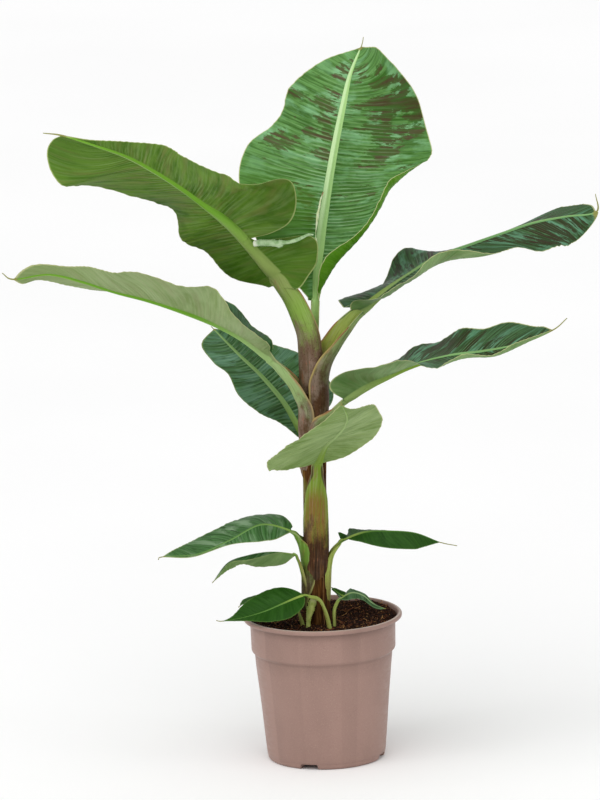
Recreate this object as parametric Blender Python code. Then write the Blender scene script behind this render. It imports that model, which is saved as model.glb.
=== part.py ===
"""Young banana plant in a round plastic nursery pot.

Lengths are in millimetres and angles in degrees until the meshes are made, which are in metres.
The origin is the middle of the pot's underside, +Z is up and -Y faces the photograph's viewer.
Each leaf is a rib line with a blade half on either side of it. A half is told at even steps
from the blade's base to its tip by its width, by the angle at which it lifts from the rib, by
how far it curls on the way to the margin, and by how far the margin sweeps towards the tip.
"""

import math

import bmesh
import bpy
import numpy as np

MM = 0.001
CLEAR = 0.3
CUT_CLEAR = 0.33

# The pot: 240 mm across the rim, the common size of nursery pot for such a plant.
RIM_RADIUS = 120
RIM_TOP = 222
POT_WALL = 2.6
POT_STEPS = 44
POT_PROFILE = [
    (88.4, 3), (90.0, 12), (96.4, 82), (104.1, 163), (105.6, 166), (108.4, 168.6), (109.1, 172.5),
    (109.5, 203), (110.9, 212), (113.2, 214.4), (118.9, 215.2), (RIM_RADIUS, 217), (RIM_RADIUS, 219.2),
    (118.6, 221.2), (116.5, RIM_TOP), (114.2, 220.6), (113.4, 217),
]
FOOT_INNER_RADIUS = 76
FLOOR_UNDER = 8
FLOOR_TOP = 11
PAD_RADIUS = 24
NOTCH_WIDTH = 25
NOTCH_HEIGHT = 8
NOTCH_FIRST = -108
NOTCH_COUNT = 4
DRAIN_RADIUS = 6
DRAIN_RING = 50
DRAIN_COUNT = 6

# The soil: a plug that fills the pot, a little raised round the trunk and at the back right.
SOIL_LEVEL = 208.6
SOIL_TOP_RADIUS = 108.8
SOIL_MOUNDS = [(-7, -18, 48, 3.4), (62, 62, 34, 13), (-70, 40, 30, 4)]
SOIL_RINGS = 7
SOIL_STEPS = POT_STEPS

# The trunk of rolled leaf sheaths: height, middle across, middle in depth, half-width.
TRUNK_STEPS = 16
TRUNK_ROWS = [
    (212.4, -7.3, -18, 23), (219, -7.5, -18, 21.8), (228, -7.8, -18, 20.7), (246, -7.8, -17, 19.6),
    (280, -7.2, -16.5, 18.2), (308, -6.9, -16, 17.5), (340, -6.8, -15, 17.5), (369, -6.7, -14, 17.6),
    (400, -6.5, -13, 17.5), (430, -6.1, -12, 17.4), (461, -5.4, -11, 17.9), (492, -4.8, -10, 18.4),
    (520, -4.0, -9, 19.0), (552, -3.5, -8, 19.3), (576, -3.6, -7, 18.6), (592, -3.9, -6.5, 17.2),
    (606, -4.4, -6, 15.6), (619, -4.6, -6, 13.8),
]
TRUNK_DEPTH = 0.94

# The leaves' stalks are channels. A stalk is told by its half-width at its foot, halfway and at the blade.
STALK_LIFT = 10
STALK_CURL = 52
KEEL = 4.5
RIB_FINE = 24


def half(first, last, width, lift, curl, sweep):
    """One stretch of a blade half, from one share of the blade's length to another."""
    return {"span": (first, last), "width": width, "lift": lift, "curl": curl, "sweep": sweep}


LEAVES = {
    "upright": {
        "rib": [
            (-4, -4, 611), (-2, 1, 635), (1, 4, 664), (3, 6, 702), (7, 13, 750), (14, 21, 798),
            (23, 30, 845), (32, 38, 892), (42, 49, 939), (53, 61, 985), (65, 78, 1029),
            (83, 100, 1068), (87, 108, 1082),
        ],
        "blade": (3, 11),
        "face": [(-.24, (0, -.9, .1)), (-.17, (0, -.9, .1)), (-.1, (0, -1, .1)), (0, (0, -1, .1)), (.03, (0, -1, .1)), (1, (0, -1, .45))],
        "stalk": (5.5, 6, 7),
        "left": [
            half(0, 1,
                 width=[13, 60, 103, 131, 134, 105, 88, 54, 0],
                 lift=[53, 38, 28, 12, -6, -22, -13, -10, -16],
                 curl=[0, 0, 0, 0, -10, -10, -10, -10, 0],
                 sweep=[0, -11, -24, -4, 16, 16, 19, 9, 0]),
        ],
        "right": [
            half(0, 1,
                 width=[4, 88, 113, 146, 167, 146, 118, 72, 0],
                 lift=[22, 20, -20, -35, -35, -30, -14, 18, 36],
                 curl=[120, 126, 130, 146, 120, 49, 20, 76, 39],
                 sweep=[11, 14, 23, 43, 26, 17, 18, 33, 1]),
        ],
    },
    "high_left": {
        "rib": [
            (-11, -24, 577), (-11, -24, 603), (-12, -23, 629), (-15, -24, 655), (-25, -26, 685),
            (-35, -30, 710), (-48, -37, 732), (-59, -43, 753), (-88, -55, 793), (-119, -69, 831),
            (-154, -84, 865), (-190, -101, 897), (-228, -119, 926), (-268, -137, 952),
            (-313, -152, 972), (-360, -158, 989), (-388, -155, 993),
        ],
        "blade": (7, 15),
        "face": [(-.46, (.35, .93, 0)), (-.4, (.35, .93, 0)), (-.33, (.35, .9, .05)), (-.27, (.38, .88, .15)), (-.19, (.38, .86, .25)), (-.12, (.3, .85, .35)), (-.06, (.15, .8, .5)), (0, (-.1, .7, .7)), (.03, (-.1, .7, .7)), (.5, (-.1, .75, .65)), (1, (-.3, .75, .55))],
        "stalk": (17, 16, 13),
        "left": [
            half(-.075, .165,
                 width=[12, 36, 67, 87, 14],
                 lift=[10, 14, 6, -5, -8],
                 curl=[0, 10, 15, 10, 0],
                 sweep=[-10, -30, -39, -19, -4]),
            half(.18, 1,
                 width=[12, 84, 136, 121, 82, 68, 35, 9, 0],
                 lift=[0, 36, -22, -30, -27, -19, -15, -5, 6],
                 curl=[0, 0, 0, 0, 0, 0, 0, 0, 0],
                 sweep=[-6, -76, 0, 11, 14, -6, -7, -2, 0]),
        ],
        "right": [
            half(-.055, 1,
                 width=[15, 69, 80, 87, 84, 87, 96, 94, 71, 6],
                 lift=[18, 12, 19, 10, 31, 22, 13, 0, 30, 50],
                 curl=[0, 0, 0, 0, 0, 0, 0, 0, 0, 0],
                 sweep=[-6, -4, -3, 1, -15, -4, 35, 49, 49, 0]),
        ],
    },
    "mid_left": {
        "rib": [
            (-24, -13, 482), (-25, -14, 516), (-24, -16, 542), (-30, -19, 560), (-38, -23, 578),
            (-51, -29, 597), (-68, -36, 619), (-104, -44, 654), (-149, -50, 681),
            (-196, -57, 703), (-244, -63, 722), (-294, -70, 738), (-342, -77, 756),
            (-391, -86, 770), (-442, -95, 766), (-459, -95, 776),
        ],
        "blade": (6, 14),
        "face": [(-.38, (1, .1, 0)), (-.29, (1, .1, 0)), (-.23, (1, .05, .1)), (-.19, (.95, 0, .3)), (-.13, (.8, -.02, .6)), (-.07, (.5, -.03, .85)), (0, (.1, -.02, 1)), (.03, (0, -.02, 1)), (.35, (0, .15, 1)), (.7, (0, .6, .8)), (1, (-.1, .9, .4))],
        "stalk": (14, 14, 11),
        "left": [
            half(-.005, 1,
                 width=[14, 54, 72, 84, 80, 76, 57, 21, 15, 1],
                 lift=[40, 16, 19, 32, 14, 10, -3, 14, 7, 15],
                 curl=[0, 5, 5, 5, 5, 5, 5, 0, 0, 0],
                 sweep=[15, -4, 7, 5, 0, 15, 16, 19, 28, 0]),
        ],
        "right": [
            half(0, 1,
                 width=[14, 66, 82, 90, 79, 66, 48, 32, 23, 0],
                 lift=[65, 19, 27, 20, 21, 25, 17, 15, 18, 17],
                 curl=[0, 0, 0, 0, 0, 0, 0, 0, 0, 0],
                 sweep=[4, -18, -7, 13, 21, 15, 14, 20, 24, 1]),
        ],
    },
    "back_left": {
        "rib": [
            (-17, 6, 442), (-19, 7, 465), (-20, 10, 478), (-23, 18, 491), (-47, 42, 535),
            (-80, 67, 574), (-116, 95, 606), (-152, 122, 640), (-156, 124, 644),
        ],
        "blade": (3, 7),
        "face": [(-.23, (.55, -.8, 0)), (-.13, (.55, -.8, 0)), (-.07, (.5, -.8, .2)), (0, (.1, -.6, .8)), (.03, (.1, -.6, .8)), (1, (-.1, -.75, .65))],
        "stalk": (6, 5, 4.5),
        "left": [
            half(0, 1,
                 width=[7, 28, 52, 52, 37, 36, 30, 0],
                 lift=[22, 14, 19, 12, 11, 0, -2, -3],
                 curl=[0, 0, 0, -10, -15, -20, -20, 0],
                 sweep=[-1, 3, -4, 11, 23, 25, 27, 0]),
        ],
        "right": [
            half(0, 1,
                 width=[5, 63, 78, 75, 60, 45, 24, 1],
                 lift=[48, 22, 14, 4, -8, -14, -17, -6],
                 curl=[0, 0, 0, 0, 0, 0, 0, 0],
                 sweep=[-1, -7, -7, 4, 10, 10, 9, 0]),
        ],
    },
    "high_right": {
        "rib": [
            (14, -10, 525), (16, -9, 552), (16, -8, 581), (21, -6, 606), (33, -1, 629),
            (49, 7, 652), (72, 16, 679), (109, 31, 710), (151, 45, 735), (195, 60, 756),
            (241, 76, 769), (288, 91, 781), (335, 106, 792), (384, 121, 797), (432, 135, 800),
            (432, 137, 828),
        ],
        "blade": (6, 14),
        "face": [(-.43, (-1, -.1, 0)), (-.36, (-1, -.12, 0)), (-.29, (-1, -.15, 0)), (-.23, (-.95, -.25, .15)), (-.16, (-.85, -.45, .35)), (-.09, (-.75, -.5, .5)), (0, (-.5, -.4, .8)), (.03, (-.3, -.25, 1)), (.4, (-.2, -.2, 1)), (.7, (-.2, -.5, .9)), (1, (-.1, -.8, .6))],
        "stalk": (15, 14, 9),
        "left": [
            half(0, 1,
                 width=[20, 67, 81, 84, 74, 60, 55, 52, 35, 0],
                 lift=[52, -1, -19, -6, -23, -33, -32, -27, -26, 4],
                 curl=[0, 0, 0, 10, 0, 0, -10, 0, 0, 0],
                 sweep=[-15, -41, -27, -14, -5, 21, 46, 53, 40, 1]),
        ],
        "right": [
            half(0, 1,
                 width=[16, 64, 71, 71, 59, 38, 52, 70, 68, 2],
                 lift=[33, -1, -2, -15, -36, -32, -27, -17, -13, -15],
                 curl=[132, 68, 43, 87, 74, 30, 11, 42, 51, -5],
                 sweep=[-13, -36, -23, 0, 26, 33, 18, -1, -20, 3]),
        ],
    },
    "mid_right": {
        "rib": [
            (-6, -27, 472), (-2, -28, 497), (5, -30, 515), (18, -31, 529), (32, -32, 542),
            (46, -34, 555), (92, -45, 585), (142, -56, 609), (194, -68, 625), (248, -81, 633),
            (301, -93, 645), (352, -104, 667), (374, -107, 685),
        ],
        "blade": (5, 11),
        "face": [(-.3, (-.35, .93, 0)), (-.23, (-.4, .9, 0)), (-.17, (-.55, .7, .2)), (-.11, (-.65, .3, .6)), (-.06, (-.55, .1, .8)), (0, (-.35, .1, 1)), (.03, (-.3, .1, 1)), (.4, (-.2, 0, 1)), (.7, (-.2, -.25, 1)), (1, (-.2, -.4, .9))],
        "stalk": (11, 9, 7.5),
        "left": [
            half(0, 1,
                 width=[10, 44, 64, 76, 72, 39, 43, 30, 1],
                 lift=[49, 26, 9, 11, 6, 40, 31, 1, 16],
                 curl=[0, 0, 0, 0, 0, 0, 0, 0, 0],
                 sweep=[0, -18, -10, -18, -9, 12, 17, 17, 0]),
        ],
        "right": [
            half(-.01, 1,
                 width=[9, 41, 63, 67, 62, 55, 49, 41, 10],
                 lift=[43, 52, 15, 8, -7, -3, -7, 14, 39],
                 curl=[0, 20, 20, 20, 20, 50, 50, 40, 0],
                 sweep=[2, -41, -2, 3, -4, -1, -1, -5, 2]),
        ],
    },
    "front": {
        "rib": [
            (-10, -34, 294), (-8, -34, 335), (-7, -33, 373), (-5, -32, 401), (-4, -33, 423),
            (-2, -35, 442), (0, -42, 463), (12, -74, 496), (27, -113, 518), (39, -154, 540),
            (44, -195, 564), (36, -233, 592), (34, -238, 596),
        ],
        "blade": (6, 11),
        "face": [(-.72, (.1, 1, 0)), (-.54, (.1, 1, 0)), (-.38, (.08, 1, 0)), (-.27, (.05, 1, 0)), (-.18, (0, 1, .05)), (-.09, (0, .95, .25)), (0, (-.05, .6, .75)), (.03, (-.1, .3, .95)), (.5, (-.25, .45, .85)), (1, (-.2, .45, .85))],
        "stalk": (9, 10, 9),
        "left": [
            half(0, 1,
                 width=[5, 46, 72, 74, 61, 46, 24, 0],
                 lift=[-26, -11, -3, 7, 11, 18, 0, -58],
                 curl=[0, 0, 0, 0, 0, 0, 0, 0],
                 sweep=[3, -4, 0, 5, 4, 11, 7, -1]),
        ],
        "right": [
            half(0, 1,
                 width=[12, 67, 100, 111, 98, 73, 33, 0],
                 lift=[-17, -15, -15, -9, -6, -7, -4, 2],
                 curl=[0, 0, 0, 0, 0, 0, 0, 0],
                 sweep=[-1, -14, -22, -14, 0, 6, 2, -1]),
        ],
    },
    "low_left_top": {
        "rib": [
            (-28, -18, 244), (-27, -18, 278), (-27, -18, 306), (-29, -20, 326), (-34, -24, 343),
            (-44, -30, 356), (-88, -51, 373), (-136, -67, 354), (-184, -82, 338),
            (-236, -97, 339), (-243, -99, 335),
        ],
        "blade": (5, 9),
        "face": [(-.56, (1, .1, 0)), (-.4, (1, .1, 0)), (-.26, (1, .1, 0)), (-.17, (.95, .1, .15)), (-.08, (.75, 0, .5)), (0, (.3, -.2, .95)), (.03, (.2, -.3, .95)), (.5, (-.1, -.45, .9)), (1, (-.3, -.5, .8))],
        "stalk": (5.5, 5, 2.8),
        "left": [
            half(0, 1,
                 width=[0, 25, 27, 9, 3, 4, 1],
                 lift=[-2, -10, -14, -12, -10, -10, -12],
                 curl=[-20, -30, -30, -30, -20, -10, 0],
                 sweep=[-2, -4, -6, -5, -2, 1, 0]),
        ],
        "right": [
            half(0, 1,
                 width=[6, 45, 56, 44, 39, 21, 0],
                 lift=[57, 7, -5, 2, 5, 6, 14],
                 curl=[-20, -30, -30, -20, -20, -10, 0],
                 sweep=[-4, -13, -6, -4, 11, 5, 0]),
        ],
    },
    "low_left_under": {
        "rib": [
            (-25, -28, 271), (-30, -31, 297), (-35, -30, 313), (-42, -30, 322), (-75, -33, 327),
            (-108, -42, 325), (-140, -50, 316), (-162, -53, 289), (-164, -53, 286),
        ],
        "blade": (3, 7),
        "face": [(-.4, (.8, .5, .1)), (-.21, (.8, .4, .3)), (-.09, (.7, .3, .6)), (0, (.2, .5, .8)), (.03, (.2, .5, .8)), (.5, (-.1, .8, .6)), (1, (-.7, .6, .3))],
        "stalk": (3.8, 3, 2.4),
        "left": [
            half(0, 1,
                 width=[0, 4, 10, 12, 6, 8, 2],
                 lift=[-57, -69, -75, -75, -69, -60, -46],
                 curl=[0, 0, 0, 0, 0, 0, 0],
                 sweep=[-1, 3, 5, 9, 8, 8, -1]),
        ],
        "right": [
            half(0, 1,
                 width=[0, 28, 37, 28, 24, 13, 1],
                 lift=[-38, -20, -3, 15, 11, 5, -2],
                 curl=[0, 0, 0, 0, 0, 0, 0],
                 sweep=[-6, -8, 3, 7, 3, 2, 0]),
        ],
    },
    "low_right": {
        "rib": [
            (9, -17, 243), (11, -16, 273), (13, -15, 299), (18, -16, 318), (28, -19, 332),
            (35, -21, 339), (68, -36, 354), (106, -48, 357), (143, -59, 355), (179, -69, 342),
            (204, -74, 337),
        ],
        "blade": (5, 9),
        "face": [(-.66, (-1, .05, 0)), (-.47, (-1, .05, 0)), (-.3, (-1, 0, 0)), (-.18, (-.85, -.1, .4)), (-.07, (-.6, -.3, .7)), (0, (-.3, -.5, .8)), (.03, (-.3, -.5, .8)), (.4, (0, -.7, .7)), (1, (.2, -.8, .6))],
        "stalk": (5, 4.2, 2.8),
        "left": [
            half(-.02, 1,
                 width=[15, 26, 28, 27, 23, 15, 4],
                 lift=[-24, -17, -48, -58, -64, -65, -65],
                 curl=[0, 0, 0, 0, 0, 0, 0],
                 sweep=[4, -20, -33, -12, 2, 4, -1]),
        ],
        "right": [
            half(0, 1,
                 width=[0, 10, 22, 27, 26, 19, 0],
                 lift=[3, -7, -13, -15, -13, -4, 13],
                 curl=[-10, -10, -10, -10, -10, 0, 0],
                 sweep=[4, -6, -3, 4, 12, 5, 0]),
        ],
    },
    "foot_left": {
        "rib": [
            (10, -56, 205), (6, -53, 228), (0, -51, 247), (-7, -52, 256), (-18, -54, 260),
            (-29, -57, 263), (-58, -64, 254), (-88, -68, 243), (-119, -69, 235),
            (-150, -66, 230), (-160, -65, 231),
        ],
        "blade": (5, 9),
        "face": [(-.58, (.6, .5, .2)), (-.39, (.7, .3, .4)), (-.24, (.5, -.1, .75)), (-.16, (.1, -.4, .9)), (-.08, (0, -.5, .85)), (0, (0, -.55, .85)), (.03, (0, -.55, .85)), (.5, (-.1, -.6, .8)), (1, (-.2, -.4, .9))],
        "stalk": (4, 3.6, 2.7),
        "left": [
            half(0, 1,
                 width=[4, 21, 30, 23, 11, 5, 0],
                 lift=[1, 5, 5, 7, 9, 9, 8],
                 curl=[-10, -15, -15, -10, -10, 0, 0],
                 sweep=[-3, -13, -10, -3, 2, 2, 0]),
        ],
        "right": [
            half(0, 1,
                 width=[0, 25, 34, 32, 24, 7, 0],
                 lift=[21, 14, 12, 12, 12, 8, 2],
                 curl=[-10, -15, -15, -10, -10, 0, 0],
                 sweep=[-3, -4, -1, 3, 7, 7, 0]),
        ],
    },
    "foot_right": {
        "rib": [
            (18, -42, 206), (18, -38, 232), (22, -36, 244), (28, -34, 252), (45, -30, 259),
            (62, -26, 253), (76, -24, 240), (93, -24, 232), (96, -24, 232),
        ],
        "blade": (3, 7),
        "face": [(-.55, (-.9, 0, .1)), (-.31, (-.8, -.1, .3)), (-.14, (-.6, -.4, .6)), (0, (-.4, -.6, .7)), (.03, (-.4, -.6, .7)), (.5, (.1, -.6, .8)), (1, (.4, -.6, .7))],
        "stalk": (4, 3.5, 2.3),
        "left": [
            half(0, 1,
                 width=[10, 16, 7, 5, 1, 0],
                 lift=[-59, -28, -16, -6, 2, 4],
                 curl=[0, 0, 0, 0, 0, 0],
                 sweep=[2, 3, -5, -2, 2, 0]),
        ],
        "right": [
            half(0, 1,
                 width=[3, 12, 10, 7, 5, 1],
                 lift=[-3, 1, 4, 5, 6, 3],
                 curl=[0, 0, 0, 0, 0, 0],
                 sweep=[-2, -4, 3, 1, 8, 0]),
        ],
    },
    "foot_back": {
        "rib": [
            (16, -2, 208), (19, 1, 229), (25, 3, 239), (33, 6, 245), (29, 9, 247), (24, 12, 250),
            (20, 15, 253), (16, 18, 256), (14, 19, 257),
        ],
        "blade": (3, 7),
        "face": [(-1.71, (-.9, 0, .1)), (-.93, (-.8, -.3, .4)), (-.44, (-.5, -.6, .6)), (0, (-.3, -.6, .75)), (.03, (-.1, -.6, .8)), (1, (-.1, -.6, .8))],
        "stalk": (2.2, 2, 1.6),
        "left": [
            half(0, 1,
                 width=[1, 5, 3, 3, 1],
                 lift=[-10, -12, -2, 3, 6],
                 curl=[0, 0, 0, 0, 0],
                 sweep=[-2, -1, 2, 4, 0]),
        ],
        "right": [
            half(0, 1,
                 width=[5, 8, 6, 3, 0],
                 lift=[3, 0, -1, -1, -2],
                 curl=[0, 0, 0, 0, 0],
                 sweep=[3, -3, 1, 3, 0]),
        ],
    },
    "foot_hidden": {
        "rib": [
            (-30, -36, 207), (-34, -32, 224), (-38, -28, 235), (-46, -24, 244), (-65, -17, 252),
            (-86, -12, 253), (-106, -8, 249), (-125, -6, 238), (-126, -6, 235),
        ],
        "blade": (3, 7),
        "face": [(-.47, (.5, .6, .1)), (-.29, (.6, .3, .4)), (-.15, (.4, 0, .8)), (0, (0, -.4, .9)), (.03, (0, -.4, .9)), (1, (-.3, -.3, .9))],
        "stalk": (3.6, 3, 2.3),
        "left": [
            half(0, 1,
                 width=[3, 15, 20, 15, 12, 0],
                 lift=[-5, -6, -6, -1, 9, 25],
                 curl=[0, -10, -10, -10, 0, 0],
                 sweep=[1, -7, -4, 1, -1, 0]),
        ],
        "right": [
            half(0, 1,
                 width=[6, 14, 14, 7, 8, 0],
                 lift=[-7, -3, -2, -3, 1, 4],
                 curl=[0, -10, -10, -10, 0, 0],
                 sweep=[4, 2, 7, 10, 11, 0]),
        ],
    },
}

# These small leaves rise from the soil away from the trunk.
FROM_SOIL = ("foot_left", "foot_right", "foot_back", "foot_hidden")


def through(points, share):
    """Points of a smooth curve through evenly spaced rows, share running from 0 to 1."""
    rows = np.asarray(points, float)
    rows = rows.reshape(len(rows), -1)
    rows = np.vstack([2 * rows[0] - rows[1], rows, 2 * rows[-1] - rows[-2]])
    where = np.clip(np.asarray(share, float), 0, 1) * (len(rows) - 3)
    i = np.minimum(where.astype(int), len(rows) - 4)
    f = (where - i)[:, None]
    a, b, c, d = rows[i], rows[i + 1], rows[i + 2], rows[i + 3]
    cubic = 3 * b - a - 3 * c + d
    square = 2 * a - 5 * b + 4 * c - d
    return 0.5 * (2 * b + (c - a) * f + square * f**2 + cubic * f**3)


class Rib:
    """The line of a leaf from the foot of its stalk to the dry end of its tip."""

    def __init__(self, leaf):
        rows = np.array(leaf["rib"], float)
        self.fine = through(rows, np.linspace(0, 1, (len(rows) - 1) * RIB_FINE + 1))
        steps = np.linalg.norm(np.diff(self.fine, axis=0), axis=1)
        self.length = np.concatenate([[0], np.cumsum(steps)])
        first, last = leaf["blade"]
        self.base = self.length[first * RIB_FINE]
        self.blade = self.length[last * RIB_FINE] - self.base
        self.first_share = -self.base / self.blade
        self.last_share = (self.length[-1] - self.base) / self.blade
        self.face = leaf["face"]

    def place(self, at):
        """Points at these distances from the stalk's foot."""
        return np.stack([np.interp(at, self.length, self.fine[:, k]) for k in range(3)], -1)

    def frame(self, share):
        """Point, tangent, upper normal and right-hand side at these shares of the blade."""
        at = self.base + np.asarray(share, float) * self.blade
        ahead = self.place(np.minimum(at + 4, self.length[-1]))
        tangent = ahead - self.place(np.maximum(at - 4, 0))
        tangent /= np.linalg.norm(tangent, axis=1)[:, None]
        when = [row[0] for row in self.face]
        parts = [np.interp(share, when, [row[1][k] for row in self.face]) for k in range(3)]
        normal = np.stack(parts, -1)
        normal -= (normal * tangent).sum(1)[:, None] * tangent
        normal /= np.linalg.norm(normal, axis=1)[:, None]
        return self.place(at), tangent, normal, np.cross(tangent, normal)


def stalk_width(rib, stalk, share):
    """Half-width of the stalk and rib at these shares, fining from the stalk's foot to the tip."""
    foot, middle, top = stalk
    shares = [rib.first_share, rib.first_share / 2, 0, 0.07, 0.4, 1, rib.last_share + 0.001]
    widths = [foot, middle, top, top * 0.72, top * 0.42, max(1.2, top * 0.14), 0.8]
    return np.interp(share, shares, widths)


def side_values(halves, share, least, thick):
    """Width, lift, curl and sweep of one side, which is as narrow as the rib outside its blade."""
    width = least.copy()
    lift = np.full(len(share), math.radians(STALK_LIFT))
    curl = np.where(share < 0, math.radians(STALK_CURL), 0.0)
    sweep = np.zeros(len(share))
    for part in halves:
        first, last = part["span"]
        inside = (share >= first - 1e-6) & (share <= last + 1e-6)
        q = (share[inside] - first) / (last - first)
        wide = np.maximum(through(part["width"], q)[:, 0], least[inside])
        up = np.radians(through(part["lift"], q)[:, 0])
        # A narrow end can't tilt far without its two faces meeting.
        free = np.clip((wide / thick - 0.9) / 2, 0.3, 1)
        width[inside] = wide
        lift[inside] = np.clip(up, -1.2 * free, 1.2 * free)
        curl[inside] = np.radians(through(part["curl"], q)[:, 0]) * free
        sweep[inside] = through(part["sweep"], q)[:, 0] * free
    curl = np.where(np.abs(curl) < 1e-4, 1e-4, curl)
    return width, lift, curl, sweep


def leaf_solid(leaf):
    """Rings of points round each cross-section of a leaf, from stalk to tip."""
    rib = Rib(leaf)
    whole = rib.length[-1]
    thick = max(2.6, 0.0104 * whole)
    steps = max(8, int(rib.blade / 17))
    stalk = np.linspace(rib.first_share, 0, max(3, int(rib.base / 24) + 2))[:-1]
    ends = [0.012, 0.985]
    for side in ("left", "right"):
        for part in leaf[side]:
            first, last = part["span"]
            ends += list(np.linspace(first, last, 2 if last - first > 0.3 else 9))
            ends += [] if first <= 0 else [first + 0.012, first + 0.03, first + 0.05]
    share = np.concatenate([stalk, np.linspace(0, 1, steps + 1), ends, [rib.last_share]])
    share = np.unique(np.round(share, 4))
    point, tangent, normal, side = rib.frame(share)
    least = stalk_width(rib, leaf["stalk"], share)
    keel = np.minimum(least * 0.8, KEEL)
    thin = np.interp(share, [rib.first_share, 0, 0.05, 0.93, 1], [thick, thick, thick, thick, 2.2])
    upper, lower = [], []
    for hand, halves in ((-1, leaf["left"]), (1, leaf["right"])):
        width, lift, curl, sweep = side_values(halves, share, least, thick)
        for u in (1, 0.68, 0.36) if hand < 0 else (0.36, 0.68, 1):
            angle = lift + curl * u
            out = width * (np.sin(angle) - np.sin(lift)) / curl
            up = width * (np.cos(lift) - np.cos(angle)) / curl
            middle = point + (hand * out)[:, None] * side + up[:, None] * normal
            middle += (sweep * u**1.5)[:, None] * tangent
            face = np.cos(angle)[:, None] * normal - (hand * np.sin(angle))[:, None] * side
            upper.append(middle + (thin / 2)[:, None] * face)
            lower.append(middle - (thin / 2)[:, None] * face)
        if hand < 0:
            upper.append(point + (thin / 2)[:, None] * normal)
            lower.append(point - (thin / 2 + keel)[:, None] * normal)
    return np.stack(upper + lower[::-1], 1)


def mesh_object(name, points, faces, colour, roughness=0.5):
    """A mesh object in metres, of faces that face out, with its own material."""
    mesh = bpy.data.meshes.new(name)
    mesh.from_pydata([tuple(float(c) * MM for c in p) for p in points], [], faces)
    work = bmesh.new()
    work.from_mesh(mesh)
    bmesh.ops.triangulate(work, faces=list(work.faces))
    bmesh.ops.recalc_face_normals(work, faces=list(work.faces))
    work.to_mesh(mesh)
    work.free()
    material = bpy.data.materials.new(name)
    material.use_nodes = True
    shader = material.node_tree.nodes["Principled BSDF"]
    shader.inputs["Base Color"].default_value = (*colour, 1)
    shader.inputs["Roughness"].default_value = roughness
    material.diffuse_color = (*colour, 1)
    mesh.materials.append(material)
    made = bpy.data.objects.new(name, mesh)
    bpy.context.scene.collection.objects.link(made)
    return made


def lofted(rings):
    """Points and faces of a closed body through equal rings."""
    count, around = rings.shape[:2]
    faces = []
    for i in range(count - 1):
        for j in range(around):
            k = (j + 1) % around
            faces.append((i * around + j, i * around + k, (i + 1) * around + k, (i + 1) * around + j))
    faces.append(tuple(range(around)))
    faces.append(tuple(range((count - 1) * around, count * around)))
    return rings.reshape(-1, 3), faces


def ring(radius, height, steps, across=0.0, depth=0.0, squash=1.0):
    """Points of a level ring."""
    turn = np.arange(steps) * 2 * math.pi / steps
    x = across + radius * np.cos(turn)
    y = depth + radius * squash * np.sin(turn)
    return np.stack([x, y, np.full(steps, float(height))], -1)


def trunk_rings(grow):
    """The trunk's rings, grown by a clearance."""
    rows = [list(row) for row in TRUNK_ROWS]
    rows[0][0] -= grow
    rows[-1][0] += grow
    return np.stack([ring(r + grow, z, TRUNK_STEPS, x, y, TRUNK_DEPTH) for z, x, y, r in rows])


def soil_height(x, y):
    """Height of the soil's surface."""
    height = np.full(np.shape(x), float(SOIL_LEVEL))
    for across, depth, spread, rise in SOIL_MOUNDS:
        height += rise * np.exp(-((x - across) ** 2 + (y - depth) ** 2) / spread**2)
    return height


def cut(target, cutter):
    """Takes a cutter's shape out of a target."""
    cutter.hide_render = True
    cutter.display_type = "WIRE"
    work = target.modifiers.new(cutter.name, "BOOLEAN")
    work.operation = "DIFFERENCE"
    work.solver = "EXACT"
    work.object = cutter


def make_pot():
    """The pot: a turned wall with foot ring, floor and middle pad, drain slots and drain holes."""
    outer = [(FOOT_INNER_RADIUS, 0), (85.6, 0), *POT_PROFILE]
    inner = [(109.4 - POT_WALL, 205), (109.1 - POT_WALL, 174), (104.1 - POT_WALL, 163)]
    inner += [(90.0 - POT_WALL, FLOOR_TOP + 2)]
    rings = [ring(r, z, POT_STEPS) for r, z in outer + inner]
    rings += [ring(86 - POT_WALL, FLOOR_TOP, POT_STEPS)]
    under = [ring(PAD_RADIUS, 0, POT_STEPS), ring(PAD_RADIUS, FLOOR_UNDER, POT_STEPS)]
    under += [ring(FOOT_INNER_RADIUS, FLOOR_UNDER, POT_STEPS)]
    points, faces = lofted(np.stack(under + rings))
    pot = mesh_object("pot", points, faces, (0.29, 0.20, 0.16), 0.55)
    for k in range(NOTCH_COUNT):
        turn = math.radians(NOTCH_FIRST + 360 / NOTCH_COUNT * k)
        along = np.array([math.cos(turn), math.sin(turn), 0])
        across = np.array([-math.sin(turn), math.cos(turn), 0]) * NOTCH_WIDTH / 2
        corners = []
        for reach in (FOOT_INNER_RADIUS - 6, 100):
            for turned, height in ((-1, -3), (1, -3), (0.86, NOTCH_HEIGHT - 0.4), (-0.86, NOTCH_HEIGHT - 0.4)):
                corners.append(along * reach + across * turned + np.array([0, 0, height]))
        points, faces = lofted(np.array(corners).reshape(2, 4, 3))
        cut(pot, mesh_object(f"slot_cut_{k + 1}", points, faces, (1, 0, 0)))
    for k in range(DRAIN_COUNT):
        turn = 2 * math.pi * (k + 0.5) / DRAIN_COUNT
        x, y = DRAIN_RING * math.cos(turn), DRAIN_RING * math.sin(turn)
        rings = np.stack([ring(DRAIN_RADIUS, z, 12, x, y) for z in (FLOOR_UNDER - 4, FLOOR_TOP + 4)])
        points, faces = lofted(rings)
        cut(pot, mesh_object(f"drain_cut_{k + 1}", points, faces, (1, 0, 0)))
    return pot


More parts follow.
